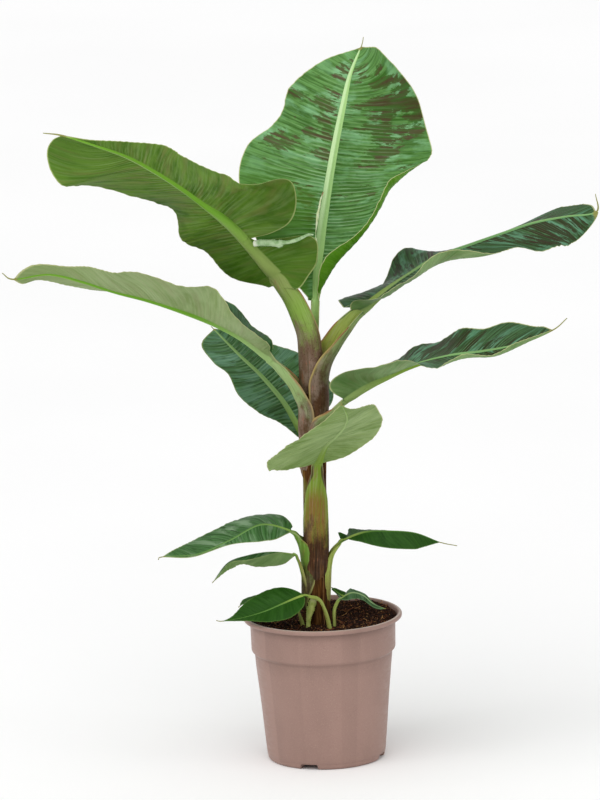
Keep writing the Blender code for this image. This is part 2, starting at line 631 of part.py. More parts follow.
def soil_shape(grow):
    """Points and faces of the soil: a plug just clear of the pot, with a gently uneven top, raised by a clearance."""
    side = [(86 - POT_WALL - CLEAR, FLOOR_TOP + CLEAR), (89.9 - POT_WALL - CLEAR, FLOOR_TOP + 2)]
    side += [(104.0 - POT_WALL - CLEAR, 163), (109.0 - POT_WALL - CLEAR, 174.4)]
    side += [(109.2 - POT_WALL - CLEAR, 204)]
    rings = [ring(r, z, SOIL_STEPS) for r, z in side]
    for k in range(SOIL_RINGS):
        flat = ring(106.2 * (1 - k / SOIL_RINGS), 0, SOIL_STEPS)
        flat[:, 2] = soil_height(flat[:, 0], flat[:, 1]) + grow
        rings.append(flat)
    points, faces = lofted(np.stack(rings))
    faces[-1:] = []
    middle = np.array([[0, 0, float(soil_height(0, 0)) + grow]])
    last = len(points) - SOIL_STEPS
    for j in range(SOIL_STEPS):
        faces.append((last + j, last + (j + 1) % SOIL_STEPS, len(points)))
    return np.vstack([points, middle]), faces


def make_soil():
    """The soil, filling the pot nearly to its rim."""
    points, faces = soil_shape(0)
    return mesh_object("soil", points, faces, (0.03, 0.015, 0.01), 0.95)


def make_trunk():
    """The trunk, cut flat at the soil."""
    points, faces = lofted(trunk_rings(0))
    return mesh_object("trunk", points, faces, (0.16, 0.09, 0.06), 0.6)


def make_leaves():
    """The leaves, each kept clear of the trunk or of the soil that it rises from."""
    points, faces = lofted(trunk_rings(CUT_CLEAR))
    trunk_room = mesh_object("trunk_clearance", points, faces, (1, 0, 0))
    points, faces = soil_shape(CUT_CLEAR)
    soil_room = mesh_object("soil_clearance", points, faces, (1, 0, 0))
    for name, leaf in LEAVES.items():
        points, faces = lofted(leaf_solid(leaf))
        blade = mesh_object("leaf_" + name, points, faces, (0.07, 0.22, 0.08), 0.45)
        cut(blade, soil_room if name in FROM_SOIL else trunk_room)


for old in list(bpy.data.objects):
    bpy.data.objects.remove(old, do_unlink=True)
make_pot()
make_soil()
make_trunk()
make_leaves()
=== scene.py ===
"""Young banana plant in a round plastic nursery pot: the looks.

Lengths in the tables are in millimetres and angles in degrees until the meshes are made, which are
in metres. The origin is the middle of the pot's underside, +Z is up and -Y faces the viewer.
Each leaf is a rib line with a half on either side of it. A blade half is told at even steps from
the blade's base to its tip by its width, by the angle at which it lifts from the rib, by how far
the margin sweeps towards the tip, and by how far the half curls on the way to the margin. A stalk
is told in the same way at its own shares of the blade's length, which are below 0, down to the
sheath that wraps the trunk.
"""

import math

import bpy
import numpy as np
from mathutils import Matrix, Vector


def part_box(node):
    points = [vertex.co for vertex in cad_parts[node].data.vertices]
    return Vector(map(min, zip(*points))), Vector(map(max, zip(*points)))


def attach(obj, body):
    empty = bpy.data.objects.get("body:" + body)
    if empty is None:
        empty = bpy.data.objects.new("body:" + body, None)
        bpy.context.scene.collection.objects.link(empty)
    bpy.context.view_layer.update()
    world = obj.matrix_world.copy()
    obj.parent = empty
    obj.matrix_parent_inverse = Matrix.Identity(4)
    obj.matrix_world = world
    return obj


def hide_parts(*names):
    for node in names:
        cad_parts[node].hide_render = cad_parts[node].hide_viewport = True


bl_info = {
    "name": "Potted banana plant",
    "version": (1, 0, 0),
    "blender": (4, 5, 0),
    "location": "View3D > Sidebar > Plant",
    "description": "Builds a young banana plant in a nursery pot",
    "category": "Object",
}

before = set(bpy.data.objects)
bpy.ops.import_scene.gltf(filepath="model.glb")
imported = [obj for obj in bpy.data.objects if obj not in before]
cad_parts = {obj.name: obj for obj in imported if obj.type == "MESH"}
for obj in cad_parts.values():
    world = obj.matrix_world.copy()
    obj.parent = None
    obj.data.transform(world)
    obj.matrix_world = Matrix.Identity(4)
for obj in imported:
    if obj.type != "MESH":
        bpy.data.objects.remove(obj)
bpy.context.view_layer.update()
MM = 0.001
FULL_TURN = 2 * math.pi


def linear(hex_colour):
    """Linear red, green and blue of an sRGB hex value."""
    shares = [int(hex_colour[i : i + 2], 16) / 255 for i in (1, 3, 5)]
    return tuple(s / 12.92 if s <= 0.04045 else ((s + 0.055) / 1.055) ** 2.4 for s in shares)


# ---------------------------------------------------------------- sizes

POT_LOW, POT_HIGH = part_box("pot")
RIM_RADIUS = (POT_HIGH[0] - POT_LOW[0]) / 2 / MM
RIM_TOP = POT_HIGH[2] / MM
POT_STEPS = 288

# The pot's underside, from the middle out: a middle pad, the floor and the foot ring's inner wall.
POT_FLOOR = 8
POT_UNDER = [
    (0.001, 0), (20, 0), (23.4, 0), (24, 0.6), (24, POT_FLOOR), (40, POT_FLOOR), (60, POT_FLOOR),
    (75.4, POT_FLOOR), (76, 7.4), (76, 0.6),
]
# The turned profile of the pot's outside, from foot to rim: radius and height.
POT_OUTSIDE = [
    (76, 0), (76.4, 0), (84.6, 0), (85.6, 0.3), (87.4, 1.4), (88.4, 3), (89.1, 6.8), (89.0, 7.6), (89.4, 8.1),
    (90.0, 12), (91.5, 28), (93.0, 43), (94.7, 62), (96.5, 82), (98.4, 102), (100.3, 121), (102.2, 141),
    (103.9, 160), (104.2, 163), (104.5, 164.2), (105.1, 165.2), (107.4, 167.3), (108.3, 168.3), (108.8, 169.6),
    (109.0, 172), (109.2, 182), (109.4, 193), (109.6, 202), (110.0, 208), (110.5, 211.6), (111.2, 213.6),
    (112.6, 214.5), (117.2, 215.0), (118.8, 215.4), (119.7, 216.3), (RIM_RADIUS, 217.6), (RIM_RADIUS, 219.2),
    (119.6, 220.3), (118.8, 221.2), (117.8, 221.8), (116.5, RIM_TOP), (115.2, 221.7), (114.2, 220.9),
    (113.6, 219.4), (113.2, 217.4),
]
POT_INSIDE = [
    (111.4, 214.2), (109.2, 210), (107.5, 206.5), (106.9, 203), (106.6, 174.4), (105.5, 170.4), (102.2, 165.4),
    (101.4, 162), (94.4, 90), (87.6, 16), (86.6, 12.4), (83.4, 11), (60, 11), (30, 11), (0.001, 11),
]
# Upright bands of painted reflection on the pot's wall: where each starts, in degrees anticlockwise from the
# front, and its tone.
POT_REFLECTION_BANDS = [
    (0, 0.5), (14, 0.27), (30, 0.64), (74, 0.78), (118, 0.32), (171, 0.68), (222, 0.3), (262, 0.84), (307, 0.25),
    (340, 0.56), (356, 0.5),
]
# The foot ring: how many points of the outside belong to it, its radius, and the notches cut in it.
FOOT_POINTS = 9
FOOT_RADIUS = 82
NOTCH_WIDTH = 25
NOTCH_HEIGHT = 8
NOTCH_FIRST = -108
NOTCH_COUNT = 4
# The drain holes in the pot's floor.
HOLE_COUNT = 6
HOLE_OUT = 50
HOLE_RADIUS = 6
HOLE_STEPS = 20
# The lip's crown, where a pale highlight is painted: its radius, and how wide the painted line is.
CROWN_RADIUS = 117
CROWN_WIDTH = 1.3

SOIL_LEVEL = 208.6
SOIL_RADIUS = 106.9
SOIL_UNDERSIDE = 11.4
SOIL_SIDE = [(82.8, SOIL_UNDERSIDE), (86.8, 13.2), (100.9, 163), (106.0, 174.8), (106.3, 203)]
# Mounds of the soil: middle across and in depth, spread and height.
SOIL_MOUNDS = [
    (-7, -18, 48, 3.4), (62, 62, 34, 11), (-70, 40, 30, 5), (-100, -10, 34, 3), (104, 12, 34, 8.5),
    (86, 54, 26, 3.5), (10, 102, 46, 6),
]
# Clods of the soil: their size, the seed of their pattern and their height.
SOIL_CLODS = [(16, 11, 1.3), (6.5, 12, 1.2), (3, 13, 0.7)]
# How far out the soil can lie at each height, inside the pot's wall.
WALL_ROOM = ([203, 206.5, 210, 214.2], [106.9, 107.2, 108.8, 110.8])
# The open ring of soil that loose crumbs and fibres fall on.
SCATTER_RADIUS = 105.5

# The trunk: height, middle across, middle in depth, half-width, as in the CAD.
TRUNK_ROWS = [
    (212.4, -7.3, -18, 23), (219, -7.5, -18, 21.8), (228, -7.8, -18, 20.7), (246, -7.8, -17, 19.6),
    (280, -7.2, -16.5, 18.2), (308, -6.9, -16, 17.5), (340, -6.8, -15, 17.5), (369, -6.7, -14, 17.6),
    (400, -6.5, -13, 17.5), (430, -6.1, -12, 17.4), (461, -5.4, -11, 17.9), (492, -4.8, -10, 18.4),
    (520, -4.0, -9, 19.0), (552, -3.5, -8, 19.3), (576, -3.6, -7, 18.6), (592, -3.9, -6.5, 17.2),
    (606, -4.4, -6, 15.6), (619, -4.6, -6, 13.8),
]
TRUNK_DEPTH = 0.94
# Edges of the sheaths that lap the trunk: turn round it in radians at the height below, lean in radians
# for each millimetre up, and the heights between which each shows.
LAP_FOOT = 212
TRUNK_LAPS = [
    (-1.15, 0.0016, 0, 480), (2.35, -0.0012, 0, 560), (-2.35, 0.0022, 300, 700), (0.7, -0.0020, 200, 620),
]

# Waves laid over each other in an uneven field.
RIPPLE_WAVES = 6

# Steps of a leaf's line between two points of its rib.
RIB_FINE = 24
# How far ahead and behind a leaf's line is looked at for its direction.
RIB_LOOK = 4
# Distance between the creases of a blade, and the pitches of the two pleats laid over each other on it.
CREASE = 5.8
PLEAT = 8.3
WIDE_PLEAT = 13.1
# Length of one UV unit on a leaf or strip.
UV_UNIT = 100
# A sheath runs on this far below its foot on the trunk, and closes in by this share there, out of sight.
# Leaves whose foot is lower than the height given rise from the soil and have no such end.
SUNK_FOOT = 26
SUNK_SHARE = 0.27
SUNK_ABOVE = 215
# The most that the back of a stalk stands out.
STALK_KEEL = 2.6

# The camera: place in metres, degrees down and rolled, and focal length in millimetres.
CAMERA_PLACE = (-0.0244, -9, 2.4105)
CAMERA_PITCH = 11.671
CAMERA_ROLL = 1.714
CAMERA_LENS = 275.6
FLOOR_REACH = 60000

CROWN = ("upright", "high_left", "mid_left", "back_left", "high_right", "mid_right", "front")


def half(first, last, width, lift, sweep, curl=(0, 0)):
    """One stretch of a blade half, from one share of the blade's length to another, in even steps."""
    return {"span": (first, last), "width": width, "lift": lift, "sweep": sweep, "curl": curl}


# The leaves. rib: points of the rib line from the foot of the stalk to the end of the dry tip.
# blade: which rib points are the blade's first and last. face: share of the blade and the upper normal
# there. stalk: share, half-width, lift and curl at the rows of the sheath and stalk. left, right: the
# stretches of each half.
LEAVES = {
    "upright": {
        "rib": [
            (-4, -4, 611), (-2, 1, 635), (1, 4, 664), (3, 6, 702), (7, 13, 750), (14, 21, 798), (23, 30, 845),
            (32, 38, 892), (42, 49, 939), (53, 61, 985), (65, 78, 1029), (83, 100, 1068), (87, 108, 1082),
        ],
        "blade": (3, 11),
        "face": [
            (-0.24, 0, -0.9, 0.1), (-0.17, 0, -0.9, 0.1), (-0.1, 0, -1, 0.1), (0, 0, -1, 0.1), (0.03, 0, -1, 0.1),
            (1, 0, -1, 0.45),
        ],
        "stalk": [(-0.24, 8, 15, 70), (-0.17, 8, 15, 65), (-0.1, 8, 20, 45), (0, 8, 20, 30)],
        "left": [
            half(0, 1, [13, 60, 103, 131, 134, 105, 88, 54, 0], [53, 38, 28, 12, -6, -22, -13, -10, -16],
                 [0, -11, -24, -4, 16, 16, 19, 9, 0], [0, 0, 0, 0, -10, -10, -10, -10, 0]),
        ],
        "right": [
            half(0, 1, [4, 88, 113, 146, 167, 146, 118, 72, 0], [22, 20, -20, -35, -35, -30, -14, 18, 36],
                 [11, 14, 23, 43, 26, 17, 18, 33, 1], [120, 126, 130, 146, 120, 49, 20, 76, 39]),
        ],
    },
    "high_left": {
        "rib": [
            (-11, -24, 577), (-11, -24, 603), (-12, -23, 629), (-15, -24, 655), (-25, -26, 685), (-35, -30, 710),
            (-48, -37, 732), (-59, -43, 753), (-88, -55, 793), (-119, -69, 831), (-154, -84, 865),
            (-190, -101, 897), (-228, -119, 926), (-268, -137, 952), (-313, -152, 972), (-360, -158, 989),
            (-388, -155, 993),
        ],
        "blade": (7, 15),
        "face": [
            (-0.46, 0.35, 0.93, 0), (-0.4, 0.35, 0.93, 0), (-0.33, 0.35, 0.9, 0.05), (-0.27, 0.38, 0.88, 0.15),
            (-0.19, 0.38, 0.86, 0.25), (-0.12, 0.3, 0.85, 0.35), (-0.06, 0.15, 0.8, 0.5), (0, -0.1, 0.7, 0.7),
            (0.03, -0.1, 0.7, 0.7), (0.5, -0.1, 0.75, 0.65), (1, -0.3, 0.75, 0.55),
        ],
        "stalk": [
            (-0.46, 34, 0, 105), (-0.4, 32, 0, 105), (-0.33, 29, 0, 98), (-0.27, 26, 2, 85), (-0.19, 24, 4, 75),
            (-0.12, 21, 5, 65), (-0.06, 17, 8, 55), (0, 14, 10, 40),
        ],
        "left": [
            half(-0.075, 0.165, [12, 36, 67, 87, 14], [10, 14, 6, -5, -8], [-10, -30, -39, -19, -4],
                 [0, 10, 15, 10, 0]),
            half(0.18, 1, [12, 84, 136, 121, 82, 68, 35, 9, 0], [0, 36, -22, -30, -27, -19, -15, -5, 6],
                 [-6, -76, 0, 11, 14, -6, -7, -2, 0]),
        ],
        "right": [
            half(-0.055, 1, [15, 69, 80, 87, 84, 87, 96, 94, 71, 6], [18, 12, 19, 10, 31, 22, 13, 0, 30, 50],
                 [-6, -4, -3, 1, -15, -4, 35, 49, 49, 0]),
        ],
    },
    "mid_left": {
        "rib": [
            (-24, -13, 482), (-25, -14, 516), (-24, -16, 542), (-30, -19, 560), (-38, -23, 578), (-51, -29, 597),
            (-68, -36, 619), (-104, -44, 654), (-149, -50, 681), (-196, -57, 703), (-244, -63, 722),
            (-294, -70, 738), (-342, -77, 756), (-391, -86, 770), (-442, -95, 766), (-459, -95, 776),
        ],
        "blade": (6, 14),
        "face": [
            (-0.38, 1, 0.1, 0), (-0.29, 1, 0.1, 0), (-0.23, 1, 0.05, 0.1), (-0.19, 0.95, 0, 0.3),
            (-0.13, 0.8, -0.02, 0.6), (-0.07, 0.5, -0.03, 0.85), (0, 0.1, -0.02, 1), (0.03, 0, -0.02, 1),
            (0.35, 0, 0.15, 1), (0.7, 0, 0.6, 0.8), (1, -0.1, 0.9, 0.4),
        ],
        "stalk": [
            (-0.38, 33, 0, 100), (-0.29, 32, 0, 98), (-0.23, 29, 0, 92), (-0.19, 27, 2, 85), (-0.13, 24, 5, 70),
            (-0.07, 20, 8, 58), (0, 13, 15, 40),
        ],
        "left": [
            half(-0.005, 1, [14, 54, 72, 84, 80, 76, 57, 21, 15, 1], [40, 16, 19, 32, 14, 10, -3, 14, 7, 15],
                 [15, -4, 7, 5, 0, 15, 16, 19, 28, 0], [0, 5, 5, 5, 5, 5, 5, 0, 0, 0]),
        ],
        "right": [
            half(0, 1, [14, 66, 82, 90, 79, 66, 48, 32, 23, 0], [65, 19, 27, 20, 21, 25, 17, 15, 18, 17],
                 [4, -18, -7, 13, 21, 15, 14, 20, 24, 1]),
        ],
    },
    "back_left": {
        "rib": [
            (-17, 6, 442), (-19, 7, 465), (-20, 10, 478), (-23, 18, 491), (-47, 42, 535), (-80, 67, 574),
            (-116, 95, 606), (-152, 122, 640), (-156, 124, 644),
        ],
        "blade": (3, 7),
        "face": [
            (-0.23, 0.55, -0.8, 0), (-0.13, 0.55, -0.8, 0), (-0.07, 0.5, -0.8, 0.2), (0, 0.1, -0.6, 0.8),
            (0.03, 0.1, -0.6, 0.8), (1, -0.1, -0.75, 0.65),
        ],
        "stalk": [(-0.23, 24, 0, 80), (-0.13, 18, 0, 70), (-0.07, 11, 5, 55), (0, 6, 10, 30)],
        "left": [
            half(0, 1, [7, 28, 52, 52, 37, 36, 30, 0], [22, 14, 19, 12, 11, 0, -2, -3],
                 [-1, 3, -4, 11, 23, 25, 27, 0], [0, 0, 0, -10, -15, -20, -20, 0]),
        ],
        "right": [
            half(0, 1, [5, 63, 78, 75, 60, 45, 24, 1], [48, 22, 14, 4, -8, -14, -17, -6],
                 [-1, -7, -7, 4, 10, 10, 9, 0]),
        ],
    },
    "high_right": {
        "rib": [
            (14, -10, 525), (16, -9, 552), (16, -8, 581), (21, -6, 606), (33, -1, 629), (49, 7, 652),
            (72, 16, 679), (109, 31, 710), (151, 45, 735), (195, 60, 756), (241, 76, 769), (288, 91, 781),
            (335, 106, 792), (384, 121, 797), (432, 135, 800), (432, 137, 828),
        ],
        "blade": (6, 14),
        "face": [
            (-0.43, -1, -0.1, 0), (-0.36, -1, -0.12, 0), (-0.29, -1, -0.15, 0), (-0.23, -0.95, -0.25, 0.15),
            (-0.16, -0.85, -0.45, 0.35), (-0.09, -0.75, -0.5, 0.5), (0, -0.5, -0.4, 0.8), (0.03, -0.3, -0.25, 1),
            (0.4, -0.2, -0.2, 1), (0.7, -0.2, -0.5, 0.9), (1, -0.1, -0.8, 0.6),
        ],
        "stalk": [
            (-0.43, 34, 0, 105), (-0.36, 41, 0, 115), (-0.29, 42, 0, 115), (-0.23, 37, 0, 105),
            (-0.16, 29, 3, 90), (-0.09, 25, 6, 72), (0, 15, 12, 48),
        ],
        "left": [
            half(0, 1, [20, 67, 81, 84, 74, 60, 55, 52, 35, 0], [52, -1, -19, -6, -23, -33, -32, -27, -26, 4],
                 [-15, -41, -27, -14, -5, 21, 46, 53, 40, 1], [0, 0, 0, 10, 0, 0, -10, 0, 0, 0]),
        ],
        "right": [
            half(0, 1, [16, 64, 71, 71, 59, 38, 52, 70, 68, 2], [33, -1, -2, -15, -36, -32, -27, -17, -13, -15],
                 [-13, -36, -23, 0, 26, 33, 18, -1, -20, 3], [132, 68, 43, 87, 74, 30, 11, 42, 51, -5]),
        ],
    },
    "mid_right": {
        "rib": [
            (-6, -27, 472), (-2, -28, 497), (5, -30, 515), (18, -31, 529), (32, -32, 542), (46, -34, 555),
            (92, -45, 585), (142, -56, 609), (194, -68, 625), (248, -81, 633), (301, -93, 645), (352, -104, 667),
            (374, -107, 685),
        ],
        "blade": (5, 11),
        "face": [
            (-0.3, -0.35, 0.93, 0), (-0.23, -0.4, 0.9, 0), (-0.17, -0.55, 0.7, 0.2), (-0.11, -0.65, 0.3, 0.6),
            (-0.06, -0.55, 0.1, 0.8), (0, -0.35, 0.1, 1), (0.03, -0.3, 0.1, 1), (0.4, -0.2, 0, 1),
            (0.7, -0.2, -0.25, 1), (1, -0.2, -0.4, 0.9),
        ],
        "stalk": [
            (-0.3, 28, 0, 95), (-0.23, 25, 0, 90), (-0.17, 18, 0, 75), (-0.11, 15, 3, 65), (-0.06, 12.5, 6, 55),
            (0, 10, 12, 40),
        ],
        "left": [
            half(0, 1, [10, 44, 64, 76, 72, 39, 43, 30, 1], [49, 26, 9, 11, 6, 40, 31, 1, 16],
                 [0, -18, -10, -18, -9, 12, 17, 17, 0]),
        ],
        "right": [
            half(-0.01, 1, [9, 41, 63, 67, 62, 55, 49, 41, 10], [43, 52, 15, 8, -7, -3, -7, 14, 39],
                 [2, -41, -2, 3, -4, -1, -1, -5, 2], [0, 20, 20, 20, 20, 50, 50, 40, 0]),
        ],
    },
    "front": {
        "rib": [
            (-10, -34, 294), (-8, -34, 335), (-7, -33, 373), (-5, -32, 401), (-4, -33, 423), (-2, -35, 442),
            (0, -42, 463), (12, -74, 496), (27, -113, 518), (39, -154, 540), (44, -195, 564), (36, -233, 592),
            (34, -238, 596),
        ],
        "blade": (6, 11),
        "face": [
            (-0.72, 0.1, 1, 0), (-0.54, 0.1, 1, 0), (-0.38, 0.08, 1, 0), (-0.27, 0.05, 1, 0), (-0.18, 0, 1, 0.05),
            (-0.09, 0, 0.95, 0.25), (0, -0.05, 0.6, 0.75), (0.03, -0.1, 0.3, 0.95), (0.5, -0.25, 0.45, 0.85),
            (1, -0.2, 0.45, 0.85),
        ],
        "stalk": [
            (-0.72, 34, 0, 112), (-0.54, 35, 0, 115), (-0.38, 33, 0, 110), (-0.27, 27, 0, 95), (-0.18, 18, 0, 70),
            (-0.09, 11, 3, 55), (0, 8.5, 8, 40),
        ],
        "left": [
            half(0, 1, [5, 46, 72, 74, 61, 46, 24, 0], [-26, -11, -3, 7, 11, 18, 0, -58],
                 [3, -4, 0, 5, 4, 11, 7, -1]),
        ],
        "right": [
            half(0, 1, [12, 67, 100, 111, 98, 73, 33, 0], [-17, -15, -15, -9, -6, -7, -4, 2],
                 [-1, -14, -22, -14, 0, 6, 2, -1]),
        ],
    },
    "low_left_top": {
        "rib": [
            (-28, -18, 244), (-27, -18, 278), (-27, -18, 306), (-29, -20, 326), (-34, -24, 343), (-44, -30, 356),
            (-88, -51, 373), (-136, -67, 354), (-184, -82, 338), (-236, -97, 339), (-243, -99, 335),
        ],
        "blade": (5, 9),
        "face": [
            (-0.56, 1, 0.1, 0), (-0.4, 1, 0.1, 0), (-0.26, 1, 0.1, 0), (-0.17, 0.95, 0.1, 0.15),
            (-0.08, 0.75, 0, 0.5), (0, 0.3, -0.2, 0.95), (0.03, 0.2, -0.3, 0.95), (0.5, -0.1, -0.45, 0.9),
            (1, -0.3, -0.5, 0.8),
        ],
        "stalk": [
            (-0.56, 12, 0, 41), (-0.4, 25, 0, 86), (-0.26, 33, 0, 112), (-0.17, 25, 0, 97), (-0.08, 9, 5, 64),
            (0, 3.2, 10, 40),
        ],
        "left": [
            half(0, 1, [0, 25, 27, 9, 3, 4, 1], [-2, -10, -14, -12, -10, -10, -12], [-2, -4, -6, -5, -2, 1, 0],
                 [-20, -30, -30, -30, -20, -10, 0]),
        ],
        "right": [
            half(0, 1, [6, 45, 56, 44, 39, 21, 0], [57, 7, -5, 2, 5, 6, 14], [-4, -13, -6, -4, 11, 5, 0],
                 [-20, -30, -30, -20, -20, -10, 0]),
        ],
    },
    "low_left_under": {
        "rib": [
            (-25, -28, 271), (-30, -31, 297), (-35, -30, 313), (-42, -30, 322), (-75, -33, 327), (-108, -42, 325),
            (-140, -50, 316), (-162, -53, 289), (-164, -53, 286),
        ],
        "blade": (3, 7),
        "face": [
            (-0.4, 0.8, 0.5, 0.1), (-0.21, 0.8, 0.4, 0.3), (-0.09, 0.7, 0.3, 0.6), (0, 0.2, 0.5, 0.8),
            (0.03, 0.2, 0.5, 0.8), (0.5, -0.1, 0.8, 0.6), (1, -0.7, 0.6, 0.3),
        ],
        "stalk": [(-0.4, 4.5, 10, 50), (-0.21, 3.8, 10, 50), (-0.09, 3.2, 10, 50), (0, 2.8, 10, 40)],
        "left": [
            half(0, 1, [0, 4, 10, 12, 6, 8, 2], [-57, -69, -75, -75, -69, -60, -46], [-1, 3, 5, 9, 8, 8, -1]),
        ],
        "right": [
            half(0, 1, [0, 28, 37, 28, 24, 13, 1], [-38, -20, -3, 15, 11, 5, -2], [-6, -8, 3, 7, 3, 2, 0]),
        ],
    },
    "low_right": {
        "rib": [
            (9, -17, 243), (11, -16, 273), (13, -15, 299), (18, -16, 318), (28, -19, 332), (35, -21, 339),
            (68, -36, 354), (106, -48, 357), (143, -59, 355), (179, -69, 342), (204, -74, 337),
        ],
        "blade": (5, 9),
        "face": [
            (-0.66, -1, 0.05, 0), (-0.47, -1, 0.05, 0), (-0.3, -1, 0, 0), (-0.18, -0.85, -0.1, 0.4),
            (-0.07, -0.6, -0.3, 0.7), (0, -0.3, -0.5, 0.8), (0.03, -0.3, -0.5, 0.8), (0.4, 0, -0.7, 0.7),
            (1, 0.2, -0.8, 0.6),
        ],
        "stalk": [
            (-0.66, 12, 0, 45), (-0.47, 17, 0, 60), (-0.3, 15, 0, 60), (-0.18, 8, 3, 60), (-0.07, 4.6, 8, 50),
            (0, 3.4, 12, 40),
        ],
        "left": [
            half(-0.02, 1, [15, 26, 28, 27, 23, 15, 4], [-24, -17, -48, -58, -64, -65, -65],
                 [4, -20, -33, -12, 2, 4, -1]),
        ],
        "right": [
            half(0, 1, [0, 10, 22, 27, 26, 19, 0], [3, -7, -13, -15, -13, -4, 13], [4, -6, -3, 4, 12, 5, 0],
                 [-10, -10, -10, -10, -10, 0, 0]),
        ],
    },
    "foot_left": {
        "rib": [
            (10, -56, 205), (6, -53, 228), (0, -51, 247), (-7, -52, 256), (-18, -54, 260), (-29, -57, 263),
            (-58, -64, 254), (-88, -68, 243), (-119, -69, 235), (-150, -66, 230), (-160, -65, 231),
        ],
        "blade": (5, 9),
        "face": [
            (-0.58, 0.6, 0.5, 0.2), (-0.39, 0.7, 0.3, 0.4), (-0.24, 0.5, -0.1, 0.75), (-0.16, 0.1, -0.4, 0.9),
            (-0.08, 0, -0.5, 0.85), (0, 0, -0.55, 0.85), (0.03, 0, -0.55, 0.85), (0.5, -0.1, -0.6, 0.8),
            (1, -0.2, -0.4, 0.9),
        ],
        "stalk": [
            (-0.58, 4.6, 10, 60), (-0.39, 4.3, 10, 60), (-0.24, 4.1, 10, 60), (-0.16, 3.8, 10, 50),
            (-0.08, 3, 10, 40), (0, 2.8, 10, 30),
        ],
        "left": [
            half(0, 1, [4, 21, 30, 23, 11, 5, 0], [1, 5, 5, 7, 9, 9, 8], [-3, -13, -10, -3, 2, 2, 0],
                 [-10, -15, -15, -10, -10, 0, 0]),
        ],
        "right": [
            half(0, 1, [0, 25, 34, 32, 24, 7, 0], [21, 14, 12, 12, 12, 8, 2], [-3, -4, -1, 3, 7, 7, 0],
                 [-10, -15, -15, -10, -10, 0, 0]),
        ],
    },
    "foot_right": {
        "rib": [
            (18, -42, 206), (18, -38, 232), (22, -36, 244), (28, -34, 252), (45, -30, 259), (62, -26, 253),
            (76, -24, 240), (93, -24, 232), (96, -24, 232),
        ],
        "blade": (3, 7),
        "face": [
            (-0.55, -0.9, 0, 0.1), (-0.31, -0.8, -0.1, 0.3), (-0.14, -0.6, -0.4, 0.6), (0, -0.4, -0.6, 0.7),
            (0.03, -0.4, -0.6, 0.7), (0.5, 0.1, -0.6, 0.8), (1, 0.4, -0.6, 0.7),
        ],
        "stalk": [(-0.55, 4.4, 10, 60), (-0.31, 3.9, 10, 60), (-0.14, 3.4, 10, 50), (0, 2.3, 10, 40)],
        "left": [
            half(0, 1, [10, 16, 7, 5, 1, 0], [-59, -28, -16, -6, 2, 4], [2, 3, -5, -2, 2, 0]),
        ],
        "right": [
            half(0, 1, [3, 12, 10, 7, 5, 1], [-3, 1, 4, 5, 6, 3], [-2, -4, 3, 1, 8, 0]),
        ],
    },
    "foot_back": {
        "rib": [
            (16, -2, 208), (19, 1, 229), (25, 3, 239), (33, 6, 245), (29, 9, 247), (24, 12, 250), (20, 15, 253),
            (16, 18, 256), (14, 19, 257),
        ],
        "blade": (3, 7),
        "face": [
            (-1.71, -0.9, 0, 0.1), (-0.93, -0.8, -0.3, 0.4), (-0.44, -0.5, -0.6, 0.6), (0, -0.3, -0.6, 0.75),
            (0.03, -0.1, -0.6, 0.8), (1, -0.1, -0.6, 0.8),
        ],
        "stalk": [(-1.71, 2.6, 10, 50), (-0.93, 2.2, 10, 50), (-0.44, 2, 10, 40), (0, 1.6, 10, 30)],
        "left": [
            half(0, 1, [1, 5, 3, 3, 1], [-10, -12, -2, 3, 6], [-2, -1, 2, 4, 0]),
        ],
        "right": [
            half(0, 1, [5, 8, 6, 3, 0], [3, 0, -1, -1, -2], [3, -3, 1, 3, 0]),
        ],
    },
    "foot_hidden": {
        "rib": [
            (-30, -36, 207), (-34, -32, 224), (-38, -28, 235), (-46, -24, 244), (-65, -17, 252), (-86, -12, 253),
            (-106, -8, 249), (-125, -6, 238), (-126, -6, 235),
        ],
        "blade": (3, 7),
        "face": [
            (-0.47, 0.5, 0.6, 0.1), (-0.29, 0.6, 0.3, 0.4), (-0.15, 0.4, 0, 0.8), (0, 0, -0.4, 0.9),
            (0.03, 0, -0.4, 0.9), (1, -0.3, -0.3, 0.9),
        ],
        "stalk": [(-0.47, 4.4, 10, 60), (-0.29, 3.9, 10, 60), (-0.15, 3.4, 10, 50), (0, 2.5, 10, 40)],
        "left": [
            half(0, 1, [3, 15, 20, 15, 12, 0], [-5, -6, -6, -1, 9, 25], [1, -7, -4, 1, -1, 0],
                 [0, -10, -10, -10, 0, 0]),
        ],
        "right": [
            half(0, 1, [6, 14, 14, 7, 8, 0], [-7, -3, -2, -3, 1, 4], [4, 2, 7, 10, 11, 0],
                 [0, -10, -10, -10, 0, 0]),
        ],
    },
}
